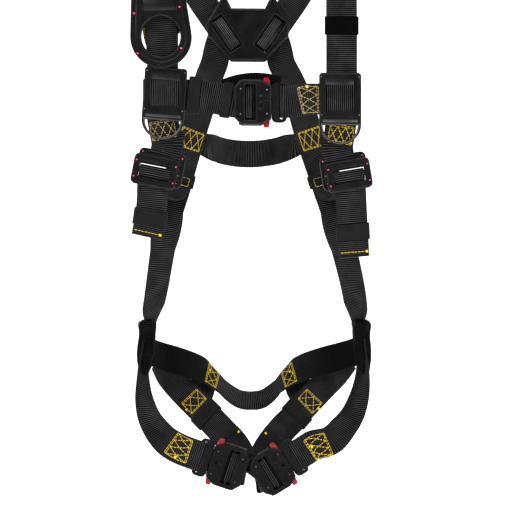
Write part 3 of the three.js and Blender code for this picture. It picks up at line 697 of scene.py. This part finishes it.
class Plate:
    """A flat body by its outline and holes in the plane across normal."""

    def __init__(self, loops, top, bottom, normal):
        self.e1, self.e2, self.n = plane_axes(normal)
        self.top, self.bottom = top, bottom
        self.loops = [eased(np.stack([p @ self.e1, p @ self.e2], axis=1)) for p in loops]
        self.loops.sort(key=lambda p: -np.ptp(p, axis=0).prod())

    @classmethod
    def from_node(cls, node, normal=FRONT, thickness=None):
        loops, top, bottom = flat_loops(node, normal)
        return cls(loops, top, bottom if thickness is None else top - thickness, normal)

    def lift(self, loop, depth):
        return loop[:, :1] * self.e1 + loop[:, 1:] * self.e2 + self.n * depth

    def mesh(self, shape, rounding):
        """Front and back faces with rounded rims, and walls between them."""
        angles = np.linspace(0, math.pi / 2, 4)
        rim = [(rounding * (1 - math.cos(a)), rounding * (1 - math.sin(a))) for a in angles]
        fronts, backs = [], []
        for loop in self.loops:
            rows, uvs = [], []
            girth = np.concatenate([[0], np.cumsum(np.linalg.norm(np.diff(loop, axis=0), axis=1))])
            profile = [(o, self.bottom + d) for o, d in reversed(rim)] + [(o, self.top - d) for o, d in rim]
            for offset, depth in profile:
                rows.append(self.lift(inset(loop, offset), depth))
                uvs.append(np.stack([girth, np.full(len(loop), depth)], axis=1))
            shape.grid(rows, np.concatenate(uvs), caps=False)
            backs.append(rows[0])
            fronts.append(rows[-1])
        for rims in (fronts, backs):
            flat = [[Vector((p @ self.e1, p @ self.e2, 0)) for p in r] for r in rims]
            points = np.concatenate(rims)
            uvs = np.stack([points @ self.e1, points @ self.e2], axis=1)
            shape.add(points, tessellate_polygon(flat), uvs)

    def bead(self, shape, loop_index, offset, width, height):
        """A raised round rib that follows the outline or a hole at an offset from it, all in mm."""
        loop = self.loops[loop_index]
        offset, width, height = offset * MM, width * MM, height * MM
        rows = [
            self.lift(inset(loop, offset + width / 2 * math.cos(a)), self.top - BEAD_SUNK + height * math.sin(a))
            for a in np.linspace(0, math.pi, 6)
        ]
        rows.append(self.lift(inset(loop, offset), self.top - BEAD_ROOT))
        n, m = len(rows), len(loop)
        corners = ((1, 0), (1, 1), (0, 1), (0, 0))
        faces = [[(i + a) % n * m + (j + b) % m for a, b in corners] for i in range(n) for j in range(m)]
        shape.add(np.concatenate(rows), faces)


def dome(shape, centre, normal, radius, height):
    """A low round head, such as a rivet's."""
    e1, e2, n = plane_axes(normal)
    rows = []
    for a in np.linspace(0, math.pi / 2 * 0.92, 5):
        rows.append(circle(np.asarray(centre) + n * height * math.sin(a), radius * math.cos(a), e1, e2, 14))
    base = [p - n * DOME_SUNK for p in rows[0]]
    shape.grid([base, *rows])


def rounded_rectangle(half_x, half_y, radius, steps):
    """The outline, anticlockwise, with this many points at each corner."""
    outline = []
    for i, (x, y) in enumerate([(1, -1), (1, 1), (-1, 1), (-1, -1)]):
        for a in np.radians(np.linspace(-90 + 90 * i, 90 * i, steps)):
            outline.append((x * (half_x - radius) + radius * math.cos(a), y * (half_y - radius) + radius * math.sin(a)))
    return np.array(outline)


def block(shape, centre, half, axes=np.eye(3), rounding=0.5 * MM):
    """A box with rounded edges on the given axes; half is its half sizes."""
    x_axis, y_axis, z_axis = np.asarray(axes, float)
    x, y, z = half
    outline = rounded_rectangle(x, y, rounding, 4)
    rows = []
    for depth, shrink in ((-z, rounding), (-z + rounding, 0), (z - rounding, 0), (z, rounding)):
        flat = outline * ((x - shrink) / x, (y - shrink) / y)
        rows.append([np.asarray(centre) + x_axis * p[0] + y_axis * p[1] + z_axis * depth for p in flat])
    shape.grid(rows if np.linalg.det(axes) > 0 else rows[::-1])


def bevelled(node, look, width):
    """The CAD node's own shape with its edges rounded."""
    points, triangles = welded(node)
    shape = Shape()
    shape.add(points, triangles)
    obj = to_object("formed_" + node, shape, look, None)
    modifier = obj.modifiers.new("flat", "DECIMATE")
    modifier.decimate_type = "DISSOLVE"
    modifier.angle_limit = math.radians(2)
    modifier = obj.modifiers.new("bevel", "BEVEL")
    modifier.width = width
    modifier.segments = 3
    modifier.limit_method = "ANGLE"
    modifier.angle_limit = math.radians(35)
    modifier.harden_normals = True
    bake_modifiers(obj)
    obj.data.materials.clear()
    obj.data.materials.append(LOOK[look])
    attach(obj, BODY_OF[node])
    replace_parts(obj, node)


def sleeve_axis(node):
    """The direction a sleeve is open along: square to or in line with every face."""
    points, triangles = welded(node)
    a, b, c = (points[list(corner)] for corner in zip(*triangles))
    normals = unit(np.cross(b - a, c - a))
    for n in normals:
        lined = np.abs(normals @ n)
        if ((lined < 0.002) | (lined > 0.998)).all():
            return n
    raise ValueError("no axis in " + node)


# ---- Straps ----
STRAP_NODES = (
    "shoulder_strap_left shoulder_strap_right back_strap_left back_strap_right lower_back_strap chest_strap_right "
    "seat_strap leg_inner_strap_left leg_inner_strap_right leg_link_left leg_link_right shoulder_ring_loop "
    "dorsal_ring_loop chest_strap_left leg_outer_strap_left adjuster_webbing_left leg_outer_strap_right "
    "adjuster_webbing_right"
).split()
STRAPS = {node: Strap.from_node(node) for node in STRAP_NODES}

BLENDS = {  # strap: its still and its moving body, and the two ends of the stretch between them
    "chest_strap_left": ("root", "chest_tongue", (0.092, -0.132, -0.313), (0.056, -0.14, -0.316)),
}
for side in SIDES:
    tongue = sum((np.array(c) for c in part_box(f"leg_buckle_{side}_tongue")), np.zeros(3)) / 2
    ahead = np.array(joint_of("leg_tongue_" + side)["axis"])
    ends = tuple(tongue + ahead * 0.075), tuple(tongue + ahead * 0.02)
    BLENDS["leg_outer_strap_" + side] = ("legs", "leg_tongue_" + side, *ends)
    low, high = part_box("adjuster_slider_" + side)
    middle = (low + high) / 2
    ends = (middle.x, -0.085, middle.z - 0.032), (middle.x, -0.107, middle.z - 0.02)
    BLENDS["adjuster_webbing_" + side] = ("root", "adjuster_slider_" + side, *ends)


def finish_soft(obj, node):
    """Attaches a piece to the body of the strap it lies on; a piece on a strap in BLENDS is only baked where it stands.
    """
    if node in BLENDS:
        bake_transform(obj)
    else:
        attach(obj, BODY_OF[node])


# What the CAD's bands simplify: a sewn-back end lies along its own front layer, and the inner leg straps
# come in behind the buckles' inner ends.
SEWN_BACK = {"leg_outer_strap_left": 24, "leg_outer_strap_right": 24, "chest_strap_left": 28}  # section at the bar
INNER_FIRST, INNER_LAST = 13, 30  # the inner leg straps' sections that give way to INNER_ENDS
INNER_ENDS = {  # middles in mm, and the width's direction at each
    "leg_inner_strap_left": (
        [(37, 9, -818), (24, -8, -831), (12, -28, -845), (4, -46, -857), (-1, -58, -868), (-1, -64, -874)],
        [(-0.67, 0.1, 0.73), (-0.66, 0.1, 0.74), (-0.62, 0, 0.78), (-0.56, 0, 0.82), *[(-0.52, 0, 0.86)] * 2],
    ),
    "leg_inner_strap_right": (
        [(-45, 9, -818), (-32, -8, -830), (-21, -28, -843), (-15, -46, -853), (-13, -57, -859), (-16, -64.3, -862)],
        [(0.68, 0.1, 0.73), (0.64, 0.1, 0.76), (0.58, 0, 0.81), (0.45, 0, 0.89), (0.36, 0, 0.93), (0.33, 0, 0.95)],
    ),
}
BEND = 6 * MM  # of a sewn-back strap, left round its bar
GAP_AT_BAR, GAP_AT_END = 7, 2.6  # mm from a sewn-back layer to the front one
TAPER_FROM, TAPER_OVER, TAPER_BY = 0.93, 0.065, 0.4  # shares of a back strap's length, and of its width


def sewn_back(strap, turn):
    """The band with everything past the section turn laid behind its own front layer."""
    middles, sides = strap.middles.copy(), strap.sides.copy()
    start, back = strap.marks[turn], strap.marks[turn:] - strap.marks[turn]
    point, _, side, normal = strap.at(start - back)
    away = ((middles[turn:] - point) * normal).sum(1)
    share = np.clip((back - BEND) / (back[-1] - BEND), 0, 1)
    gap = np.sign(away[8]) * (GAP_AT_BAR - (GAP_AT_BAR - GAP_AT_END) * share) * MM
    laid = point + normal * gap[:, None]
    keep = (share <= 0)[:, None]
    middles[turn:] = np.where(keep, middles[turn:], laid)
    sides[turn:] = np.where(keep, sides[turn:], side)
    return Strap(middles, sides, strap.width, strap.thickness)


def gathered(share):
    """The width of a back strap, drawn together at its lower end."""
    t = min(max((share - TAPER_FROM) / TAPER_OVER, 0), 1)
    return 1 - TAPER_BY * t * t * (3 - 2 * t)


for node, turn in SEWN_BACK.items():
    STRAPS[node] = sewn_back(STRAPS[node], turn)
for node, (middles, sides) in INNER_ENDS.items():
    strap = STRAPS[node]
    first, after = slice(INNER_FIRST), slice(INNER_LAST + 1, None)
    middles = np.concatenate([strap.middles[first], np.array(middles) * MM, strap.middles[after]])
    STRAPS[node] = Strap(middles, np.concatenate([strap.sides[first], sides, strap.sides[after]]), strap.width)
FOLDED = {"adjuster_webbing_left": 30 * MM, "adjuster_webbing_right": 26 * MM}  # lengths turned back at the tail's end
for node, strap in STRAPS.items():
    shape = made(strap.mesh, taper=gathered if node.startswith("back_strap") else None)
    if node in FOLDED:
        strap.fold(FOLDED[node], -strap.find(strap.middles[-1])[2]).mesh(shape)
    # The seat strap takes the webbing with painted shade towards its ends.
    webbing = to_object("woven_" + node, shape, "webbing_seat" if node == "seat_strap" else "webbing", None)
    finish_soft(webbing, node)
    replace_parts(webbing, node)

# ---- Keepers and sleeves ----
for node in sorted(n for n in frame["nodes"] if "keeper" in n or "sleeve" in n):
    shape = made(Plate.from_node(node, sleeve_axis(node)).mesh, 0.45 * MM)
    look = "elastic_deep" if node == "shoulder_keeper_left" else "elastic"
    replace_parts(to_object("elastic_" + node, shape, look, BODY_OF[node], weighted=True), node)


# ---- Hardware ----
class Seat:
    """Where a piece of hardware sits, and its turn about Y in degrees. Every x, z and size here is in mm."""

    def __init__(self, centre, turn):
        self.centre, self.turn = np.array(centre, float), turn
        a = math.radians(turn)
        self.x_axis = np.array([math.cos(a), 0, -math.sin(a)])
        self.z_axis = np.array([math.sin(a), 0, math.cos(a)])

    def at(self, x, z, depth):
        """The point x and z away from the centre, at the depth (Y, in metres)."""
        point = self.centre + self.x_axis * x * MM + self.z_axis * z * MM
        point[1] = depth
        return point

    def front(self, node, places):
        """Points on the node's front face."""
        return [self.at(x, z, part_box(node)[0].y) for x, z in places]

    def block(self, shape, x, z, depth, half, rounding=0.5):
        axes = self.x_axis, self.z_axis, (0, 1, 0)
        block(shape, self.at(x, z, depth), np.array(half) * MM, axes, rounding * MM)


def plate_shape(node, rounding, beads=(), normal=FRONT):
    """The node's plate and its shape. Sizes are in mm, and a bead is (loop, offset, width, height)."""
    plate = Plate.from_node(node, normal)
    shape = made(plate.mesh, rounding * MM)
    for bead in beads:
        plate.bead(shape, *bead)
    return plate, shape


def formed(node, shape, look="coated", name=None):
    """The shape as the piece that stands for a CAD node."""
    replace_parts(to_object(name or "formed_" + node, shape, look, BODY_OF[node], smooth=50, weighted=True), node)


def dots(name, body, centres, look, radius, height, normal=FRONT):
    """Round heads at the centres, with sizes in mm."""
    shape = Shape()
    for centre in centres:
        dome(shape, centre, normal, radius * MM, height * MM)
    to_object(name, shape, look, body)


RING_BEADS = [(0, 8.2, 1.8, 0.9), (1, 1.4, 1.8, 0.7)]
RING_FRONT, DORSAL_BACK = -0.149, 0.138
RING_DOTS = [(-0.1773, -0.1945), (-0.1127, -0.1848), (-0.1722, -0.2515), (-0.1102, -0.2437)]
DORSAL_DOTS = [(-0.0385, -0.15), (0.0265, -0.15), (-0.0335, -0.198), (0.0215, -0.198)]
ring, shape = plate_shape("shoulder_ring", 1.1, RING_BEADS)
formed("shoulder_ring", shape)
formed("dorsal_ring", plate_shape("dorsal_ring", 1.1, RING_BEADS, BACK)[1])
dots("ring_dots", "shoulder_ring", [(x, RING_FRONT, z) for x, z in RING_DOTS], "indicator", 1.5, 0.6)
dots("dorsal_dots", "dorsal_ring", [(x, DORSAL_BACK, z) for x, z in DORSAL_DOTS], "indicator", 1.5, 0.6, BACK)
slot = max(ring.loops[1:], key=lambda p: p[:, 1].mean())
(x, z), (half_x, half_z) = (slot.min(0) + slot.max(0)) / 2, np.ptp(slot, axis=0) / 2
lining = made(block, (x, -0.1445, z), (half_x, 1 * MM, half_z), rounding=0.8 * MM)
to_object("ring_slot_lining", lining, "pad", "shoulder_ring")
restrap = Strap(
    np.array([(-156, -133.2, -186), (-158.5, -133.4, -206), (-157.5, -133.4, -222), (-151.5, -133.2, -243)]) * MM,
    [(1, 0, 0), (1, 0, 0.02), (1, 0, 0.14), (0.9, 0, 0.4)],
    15 * MM,
    1.8 * MM,
)
# The restrap, seen through the ring's hole, takes the darker webbing: painted shade.
to_object("ring_restrap", made(restrap.mesh), "webbing_dull", "root")
_, across, face = restrap.find((-0.166, -0.134, -0.21))
row = [(12 * MM, across * 0.75), (restrap.length - 14 * MM, across * 0.75)]
to_object("stitch_restrap", made(sew, restrap, row, face), "thread", "root")
dots("ring_plug", "shoulder_ring", [(-0.1422, RING_FRONT, -0.2679)], "pad", 1.9, 0.5)

FRAME_SEAT = {"left": Seat((0.1186, -0.136, -0.3085), 0), "right": Seat((-0.134, -0.136, -0.3025), 4)}
ADJUSTER_SEAT = {"left": Seat((0.126, -0.125, -0.417), -9.5), "right": Seat((-0.141, -0.125, -0.413), 11)}
SLIDER_SHIFT = {"left": 4.6, "right": -6.3}  # mm along the adjuster's x
FRAME_BARS = [  # name, z, half width, half height, depth, look
    ("band_", 22, 25, 6.5, -0.1341, "coated"),
    # the lower bar's lighter colour is painted sheen
    ("bar_", -36.1, 28, 3.7, -0.1366, "coated_worn"),
]
FRAME_RIVETS = [(-27.3, 27), (27.3, 27), (-27.3, -28), (27.3, -28)]
LINER_OUTER, LINER_INNER = (25.5, 31.5, 2.4), (20.8, 23.2, 1.5)  # half sizes and corner radius
LINER_FRONT, LINER_BACK = -0.1362, -0.1347


def liner(seat):
    """The rectangular surround inside a chest frame's window."""
    loops = []
    for size, order in ((LINER_OUTER, 1), (LINER_INNER, -1)):
        flat = rounded_rectangle(*np.array(size) * MM, 5)
        loops.append((seat.centre + flat[:, :1] * seat.x_axis + flat[:, 1:] * seat.z_axis)[::order])
    return made(Plate(loops, -LINER_FRONT, -LINER_BACK, FRONT).mesh, 0.5 * MM)


for side, sign in SIDES.items():
    node, seat = "chest_frame_" + side, FRAME_SEAT[side]
    plate, shape = plate_shape(node, 0.8, [(0, 1.7, 1.4, 0.5)])
    formed(node, shape)
    to_object("rim_" + node, made(plate.bead, 2, 1.5, 1.9, 0.9), "blackened", "root")
    to_object("liner_" + node, liner(seat), "pad", "root", smooth=50, weighted=True)
    for name, z, half_x, half_z, depth, look in FRAME_BARS:
        to_object(name + node, made(seat.block, 0, z, depth, (half_x, half_z, 0.9)), look, "root")
    dots("rivets_" + node, "root", seat.front(node, FRAME_RIVETS), "steel", 1.0, 0.6)

    node, seat = "adjuster_base_" + side, ADJUSTER_SEAT[side]
    _, shape = plate_shape(node, 0.9)
    seat.block(shape, sign * 22.9, 13.1, seat.centre[1], (5, 5.6, 1.2))
    formed(node, shape)
    dots("dots_" + node, "root", seat.front(node, [(-29, 19), (29, 19)]), "indicator", 1.2, 0.6)

    node, seat = "adjuster_slider_" + side, Seat(seat.at(SLIDER_SHIFT[side], -6.8, seat.centre[1]), seat.turn)
    plate = Plate.from_node(node, thickness=4 * MM)
    window = plate.loops[1]
    plate.loops[1] = window.mean(0) + (window - window.mean(0)) * np.array([0.9, 1])
    shape = made(plate.mesh, 0.9 * MM)
    plate.bead(shape, 0, 1.8, 1.4, 0.5)
    seat.block(shape, 0, 0, seat.centre[1] - 6.2 * MM, (25.8, 4.5, 1), 0.6)
    formed(node, shape)
    corners = seat.front(node, itertools.product((-28.6, 28.6), (-12, 12)))
    dots("dots_" + node, BODY_OF[node], corners, "indicator", 1.2, 0.6)

# ---- Quick-connect buckles ----
BUCKLES = {  # its place, its turn, the look of its body and of its rivets
    "chest_buckle": (Seat((-0.0085, -0.141, -0.32), 0), "coated", "steel"),
    "leg_buckle_left": (Seat((0.0235, -0.07, -0.861), -31), "coated_deep", "blackened"),
    "leg_buckle_right": (Seat((-0.0425, -0.07, -0.853), 199), "coated_deep", "blackened"),
}
COVER_BEADS = [(0, 2.0, 2.0, 0.6), (1, 1.1, 1.4, 0.5)]
COVER_RIVETS = [(-17, 19), (-17.5, -17), (20.4, 18), (20.4, -16.5)]
COVER_PITS = [(24, 9.5), (19, 9)]
TONGUE_LININGS = [(38, 0, 2, 24.6), (40.63, 23.75, 1.2, 0.9), (40.63, -23.75, 1.2, 0.9)]  # x, z and half sizes
COIL_LENGTH = 20.6 * MM
COIL_WIRE = 0.3 * MM
COIL_TURNS = 10


def coil(shape, start, ahead):
    """One half of a latch spring: an oval coil of wire from start along ahead."""
    side = np.cross(ahead, FRONT)
    rows = []
    for share in np.linspace(0, 1, 12 * COIL_TURNS + 1):
        a = 2 * math.pi * COIL_TURNS * share
        out = side * math.cos(a) * 1.6 * MM - np.array(FRONT) * math.sin(a) * 0.8 * MM
        middle = start + ahead * (COIL_WIRE + (COIL_LENGTH - 2 * COIL_WIRE) * share) + out
        rows.append(circle(middle, COIL_WIRE, unit(out), ahead, 6))
    shape.grid(rows)


for prefix, (seat, look, metal) in BUCKLES.items():
    cover, tongue, spring = prefix + "_cover", prefix + "_tongue", prefix + "_latch_spring"
    _, shape = plate_shape(cover, 0.9, COVER_BEADS)
    for z in (-9, 0, 9):
        seat.block(shape, 11.5, z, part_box(cover)[0].y - 0.1 * MM, (2.6, 1.1, 0.5), 0.4)
    formed(cover, shape, look)
    dots("rivets_" + cover, BODY_OF[cover], seat.front(cover, COVER_RIVETS), metal, 1.2, 0.7)
    dots("pits_" + cover, BODY_OF[cover], seat.front(cover, COVER_PITS), "pad", 1.0, 0.3)
    bevelled(prefix + "_base", look, 0.7 * MM)
    bevelled(tongue, look, 0.9 * MM)
    dots("pin_" + prefix, BODY_OF[tongue], seat.front(tongue, [(43, -22)]), metal, 1.2, 0.6)
    low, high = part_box(spring)
    middle = np.array((low + high) / 2)
    for latch in ("upper", "lower"):
        node = f"{prefix}_latch_{latch}"
        bevelled(node, "red", 0.8 * MM)
        press = joint_of(BODY_OF[node])
        shape = made(coil, middle, -np.array(press["axis"]))
        half = to_object(f"coil_{prefix}_{latch}", shape, "steel", BODY_OF[spring])
        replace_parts(half, spring)
        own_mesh(half)
    shape = Shape()
    for x, z, half_x, half_z in TONGUE_LININGS:
        seat.block(shape, x, z, seat.centre[1] + 0.3 * MM, (half_x, half_z, 1), 0.3)
    to_object("lining_" + tongue, shape, "pad", BODY_OF[tongue])
    bar = frame["nodes"][prefix + "_friction_bar"].data
    bar.materials.clear()
    bar.materials.append(LOOK["pad"])

# ---- Back plate: the plate, and a floor and a roll of webbing in each slot ----
SLOT_DEPTH = 0.1131
pad, shape = plate_shape("dorsal_pad", 1.6, [(0, 3.2, 2.4, 1.1), (1, 1.8, 2.2, 1.2), (2, 1.8, 2.2, 1.2)])
formed("dorsal_pad", shape, "pad", "moulded_pad")
floors, rolls = Shape(), Shape()
for loop in pad.loops[1:]:
    corners = pad.lift(loop, 0)
    middle = corners.mean(0)
    edges = sorted((corners[i] - corners[i - 1] for i in range(len(corners))), key=np.linalg.norm)
    long_axis, short_axis = unit(edges[-1]), unit(edges[-3])
    inwards = short_axis * math.copysign(1, -short_axis[0] * (middle[0] + 0.006))
    middle[1] = SLOT_DEPTH
    block(floors, middle, (27 * MM, 10.5 * MM, 0.5 * MM), (long_axis, inwards, np.cross(long_axis, inwards)))
    arc = [
        middle + inwards * (3.2 + 6.8 * t) * MM + np.array(FRONT) * (2.8 * math.cos(t * 1.15) - 0.8) * MM
        for t in np.linspace(-1, 1, 9)
    ]
    Strap(arc, [long_axis] * 9, 53 * MM, 1 * MM).mesh(rolls, ribs=False)
to_object("slot_floors", floors, "pad", "root")
# The rolls take the brighter webbing: painted highlight.
to_object("slot_rolls", rolls, "webbing_lit", "root", smooth=60)

# ---- Hip gathers: folded webbing where the back strap meets the seat and leg straps ----
HIP_MIDDLE = (0.1605, -0.0045)
HIP = [  # z, then in mm: x and y from the middle, half width in x, half width in y
    (-0.638, 3.5, -4, 8.5, 12.5),
    (-0.641, 4.2, -3.7, 12.5, 16),
    (-0.645, 4.7, -3.2, 13.8, 16.5),
    (-0.650, 5.0, -2.4, 13.5, 14.5),
    (-0.657, 5.0, -1.5, 13.0, 12.5),
    (-0.666, 5.5, -0.5, 13.0, 14),
    (-0.678, 6.5, 1.5, 13.0, 18),
    (-0.690, 7.5, 2.0, 12.5, 20.5),
    (-0.702, 8.5, 1.5, 11.5, 21),
    (-0.713, 9.0, -1.5, 9.0, 20),
    (-0.722, 9.5, -3.5, 6.0, 17),
]
HIP_POINTS, HIP_ROWS, HIP_GIRTH = 40, 41, 90 * MM
HIP_BOXY = 0.7  # 1 is an oval, and less is nearer a rectangle
CREASES = [(0.07, 6, 0.6), (0.04, 11, -1)]  # height, count round the gather, drift from row to row


def gather(shape, sign):
    """Creased rows of points, eased from one row of HIP to the next; a point is x, y, z and the UV's u."""
    share = np.arange(HIP_POINTS) / HIP_POINTS
    a = 2 * math.pi * share
    wide, deep = (np.copysign(np.abs(v) ** HIP_BOXY, v) for v in (np.cos(a), np.sin(a)))
    rows = []
    for k, (z, x, y, half_x, half_y) in enumerate(HIP):
        crease = 1 + sum(height * np.cos(count * a + drift * k) for height, count, drift in CREASES)
        xs = sign * (HIP_MIDDLE[0] + x * MM) + wide * half_x * MM * crease
        ys = HIP_MIDDLE[1] + y * MM + deep * half_y * MM * crease
        rows.append(np.stack([xs, ys, np.full(HIP_POINTS, z), share * HIP_GIRTH], axis=1))
    dense = []
    for mark in np.linspace(len(HIP) - 1, 0, HIP_ROWS):
        i = min(int(mark), len(HIP) - 2)
        t = mark - i
        t = t * t * (3 - 2 * t)
        dense.append(rows[i] * (1 - t) + rows[i + 1] * t)
    dense = np.array(dense)
    shape.grid(dense[:, :, :3], dense[:, :, [3, 2]].reshape(-1, 2))


for side, sign in SIDES.items():
    # The gathers take the darker webbing: painted shade of the folds at the hips.
    loop = to_object("folded_hip_loop_" + side, made(gather, sign), "webbing_dull", None)
    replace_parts(loop, "hip_loop_" + side)
    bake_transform(loop)

# ---- Webbing that only shows as folds: behind the chest buckle, and where the legs' straps meet ----
underlay = Strap(
    np.array([(-46, -130.2, -307), (-30, -127.5, -301), (-8, -126, -297), (12, -126.5, -298), (30, -128, -302)]) * MM,
    [(0, 0, 1)] * 5,
)
# The strip behind the buckle takes the darker webbing: painted shade.
to_object("chest_underlay", made(underlay.mesh), "webbing_dull", "root")
for side in SIDES:
    strap = STRAPS["leg_inner_strap_" + side]
    marks = np.linspace(strap.marks[INNER_FIRST] + 6 * MM, strap.marks[INNER_FIRST + 4], 14)
    face = strap.find(strap.middles[INNER_FIRST + 1])[2]
    folds = 0.9 * np.sin(np.linspace(0, 3 * math.pi, 14)) ** 2
    point, _, across, normal = strap.at(marks)
    point = point + normal * face * (2.1 + folds)[:, None] * MM
    sleeve = made(Strap(point, across, 46 * MM, 1.4 * MM).mesh, ribs=False)
    to_object("crotch_sleeve_" + side, sleeve, "elastic", "legs")

# ---- Stitching ----
LABEL = {"left": (0.0996, -0.049, -0.4265), "right": (-0.1116, -0.049, -0.4265)}
for side, place in LABEL.items():
    strap = STRAPS["adjuster_webbing_" + side]
    along, across, face = strap.find(place)
    surface = strap.surface(along, across, face)[0]
    lift = (np.array(place) - surface) @ strap.at(along)[3][0] * face + 0.2 * MM
    corners = [(along + i * 7 * MM, across + j * 11 * MM) for i, j in ((-1, -1), (1, -1), (1, 1), (-1, 1))]
    shape = made(sew, strap, corners, face, closed=True, lift=lift)
    to_object("stitch_label_" + side, shape, "thread", "root")
BOXES = [  # strap, middle, length along and width across in mm, crosses
    ("back_strap_right", (-0.0988, 0.0112, -0.3585), 42, 35, 3),
    ("back_strap_left", (0.0899, 0.012, -0.3564), 42, 35, 3),
    ("shoulder_strap_right", (-0.1368, -0.1299, -0.3585), 26, 35, 3),
    ("shoulder_strap_left", (0.1204, -0.13, -0.3633), 26, 35, 3),
    ("chest_strap_left", (0.0732, -0.136, -0.3143), 29, 38, 3),
    ("seat_strap", (-0.0648, 0.0845, -0.7348), 25, 37, 2),
    ("seat_strap", (0.0625, 0.085, -0.736), 25, 37, 2),
    ("leg_inner_strap_right", (-0.0937, 0.0605, -0.7724), 26, 33, 2),
    ("leg_inner_strap_left", (0.0913, 0.0598, -0.7725), 25, 33, 2),
    ("leg_outer_strap_right", (-0.1143, -0.0676, -0.826), 33, 35, 3),
    ("leg_outer_strap_left", (0.0958, -0.07, -0.8354), 33, 35, 3),
]
TAN_BOXES = ("shoulder_strap_right", "chest_strap_left")
for k, (node, centre, length, width, crosses) in enumerate(BOXES):
    shape = made(box_stitch, STRAPS[node], centre, length * MM, width * MM, crosses)
    look = "thread_tan" if node in TAN_BOXES else "thread"
    finish_soft(to_object(f"stitch_box_{k + 1}", shape, look, None), node)
KNOTS = [  # strap, place, radius and lift in mm
    ("back_strap_right", (-0.1135, 0.003, -0.348), 2.4, 0),
    ("back_strap_left", (0.1027, 0.003, -0.3485), 2.4, 0),
    ("chest_strap_left", (0.07, -0.136, -0.2958), 2.0, 0),
    ("shoulder_strap_right", (-0.1535, -0.13, -0.3665), 2.0, 0),
    ("seat_strap", (-0.0569, 0.08, -0.7197), 2.1, 0),
    ("seat_strap", (0.0552, 0.08, -0.7241), 2.1, 0),
    ("leg_inner_strap_right", (-0.1059, 0.058, -0.7848), 1.8, 0),
    ("leg_inner_strap_left", (0.1069, 0.058, -0.7859), 2.2, 0),
    ("leg_outer_strap_right", (-0.1212, -0.07, -0.8395), 2.0, 0),
    ("leg_outer_strap_left", (0.0824, -0.07, -0.8255), 2.3, 0),
    ("leg_inner_strap_right", (-0.0258, -0.008, -0.8104), 1.6, 3.7),
    ("leg_inner_strap_left", (0.0176, -0.008, -0.8135), 1.8, 3.7),
]
for k, (node, place, radius, lift) in enumerate(KNOTS):
    strap = STRAPS[node]
    along, across, face = strap.find(place)
    room = strap.width / 2 - 3 * MM
    shape = made(knot, strap, along, min(max(across, -room), room), face, 2.2 * radius * MM, lift * MM)
    finish_soft(to_object(f"stitch_knot_{k + 1}", shape, "thread", None), node)
for side in SIDES:
    node = "adjuster_webbing_" + side
    strap = STRAPS[node]
    face = strap.find(strap.middles[-1])[2]
    row = strap.length - 5 * MM
    shape = made(sew, strap, [(row, -20 * MM), (row, 20 * MM)], face)
    knot(shape, strap, row, 19 * MM, face, 4 * MM)
    finish_soft(to_object("stitch_tail_" + side, shape, "thread", None), node)

# ---- Floor, curving up into a wall ----
FLOOR_Z, WALL_Y, CURVE = -0.96, 4.6, 1.2
profile = [(-4.0, FLOOR_Z), (WALL_Y - CURVE, FLOOR_Z)]
for a in np.linspace(0, math.pi / 2, 12)[1:]:
    profile.append((WALL_Y - CURVE * (1 - math.sin(a)), FLOOR_Z + CURVE * (1 - math.cos(a))))
profile += [(WALL_Y, 4.0)]
shape = made(Shape.grid, [[(x, y, z) for x in (-6, 6)] for y, z in profile], closed=False)
mesh = bpy.data.meshes.new("stage")
mesh.from_pydata(np.concatenate(shape.points).tolist(), [], shape.faces)
mesh.shade_smooth()
mesh.materials.append(floor_material())
backdrop = bpy.data.objects.new("stage", mesh)
scene.collection.objects.link(backdrop)
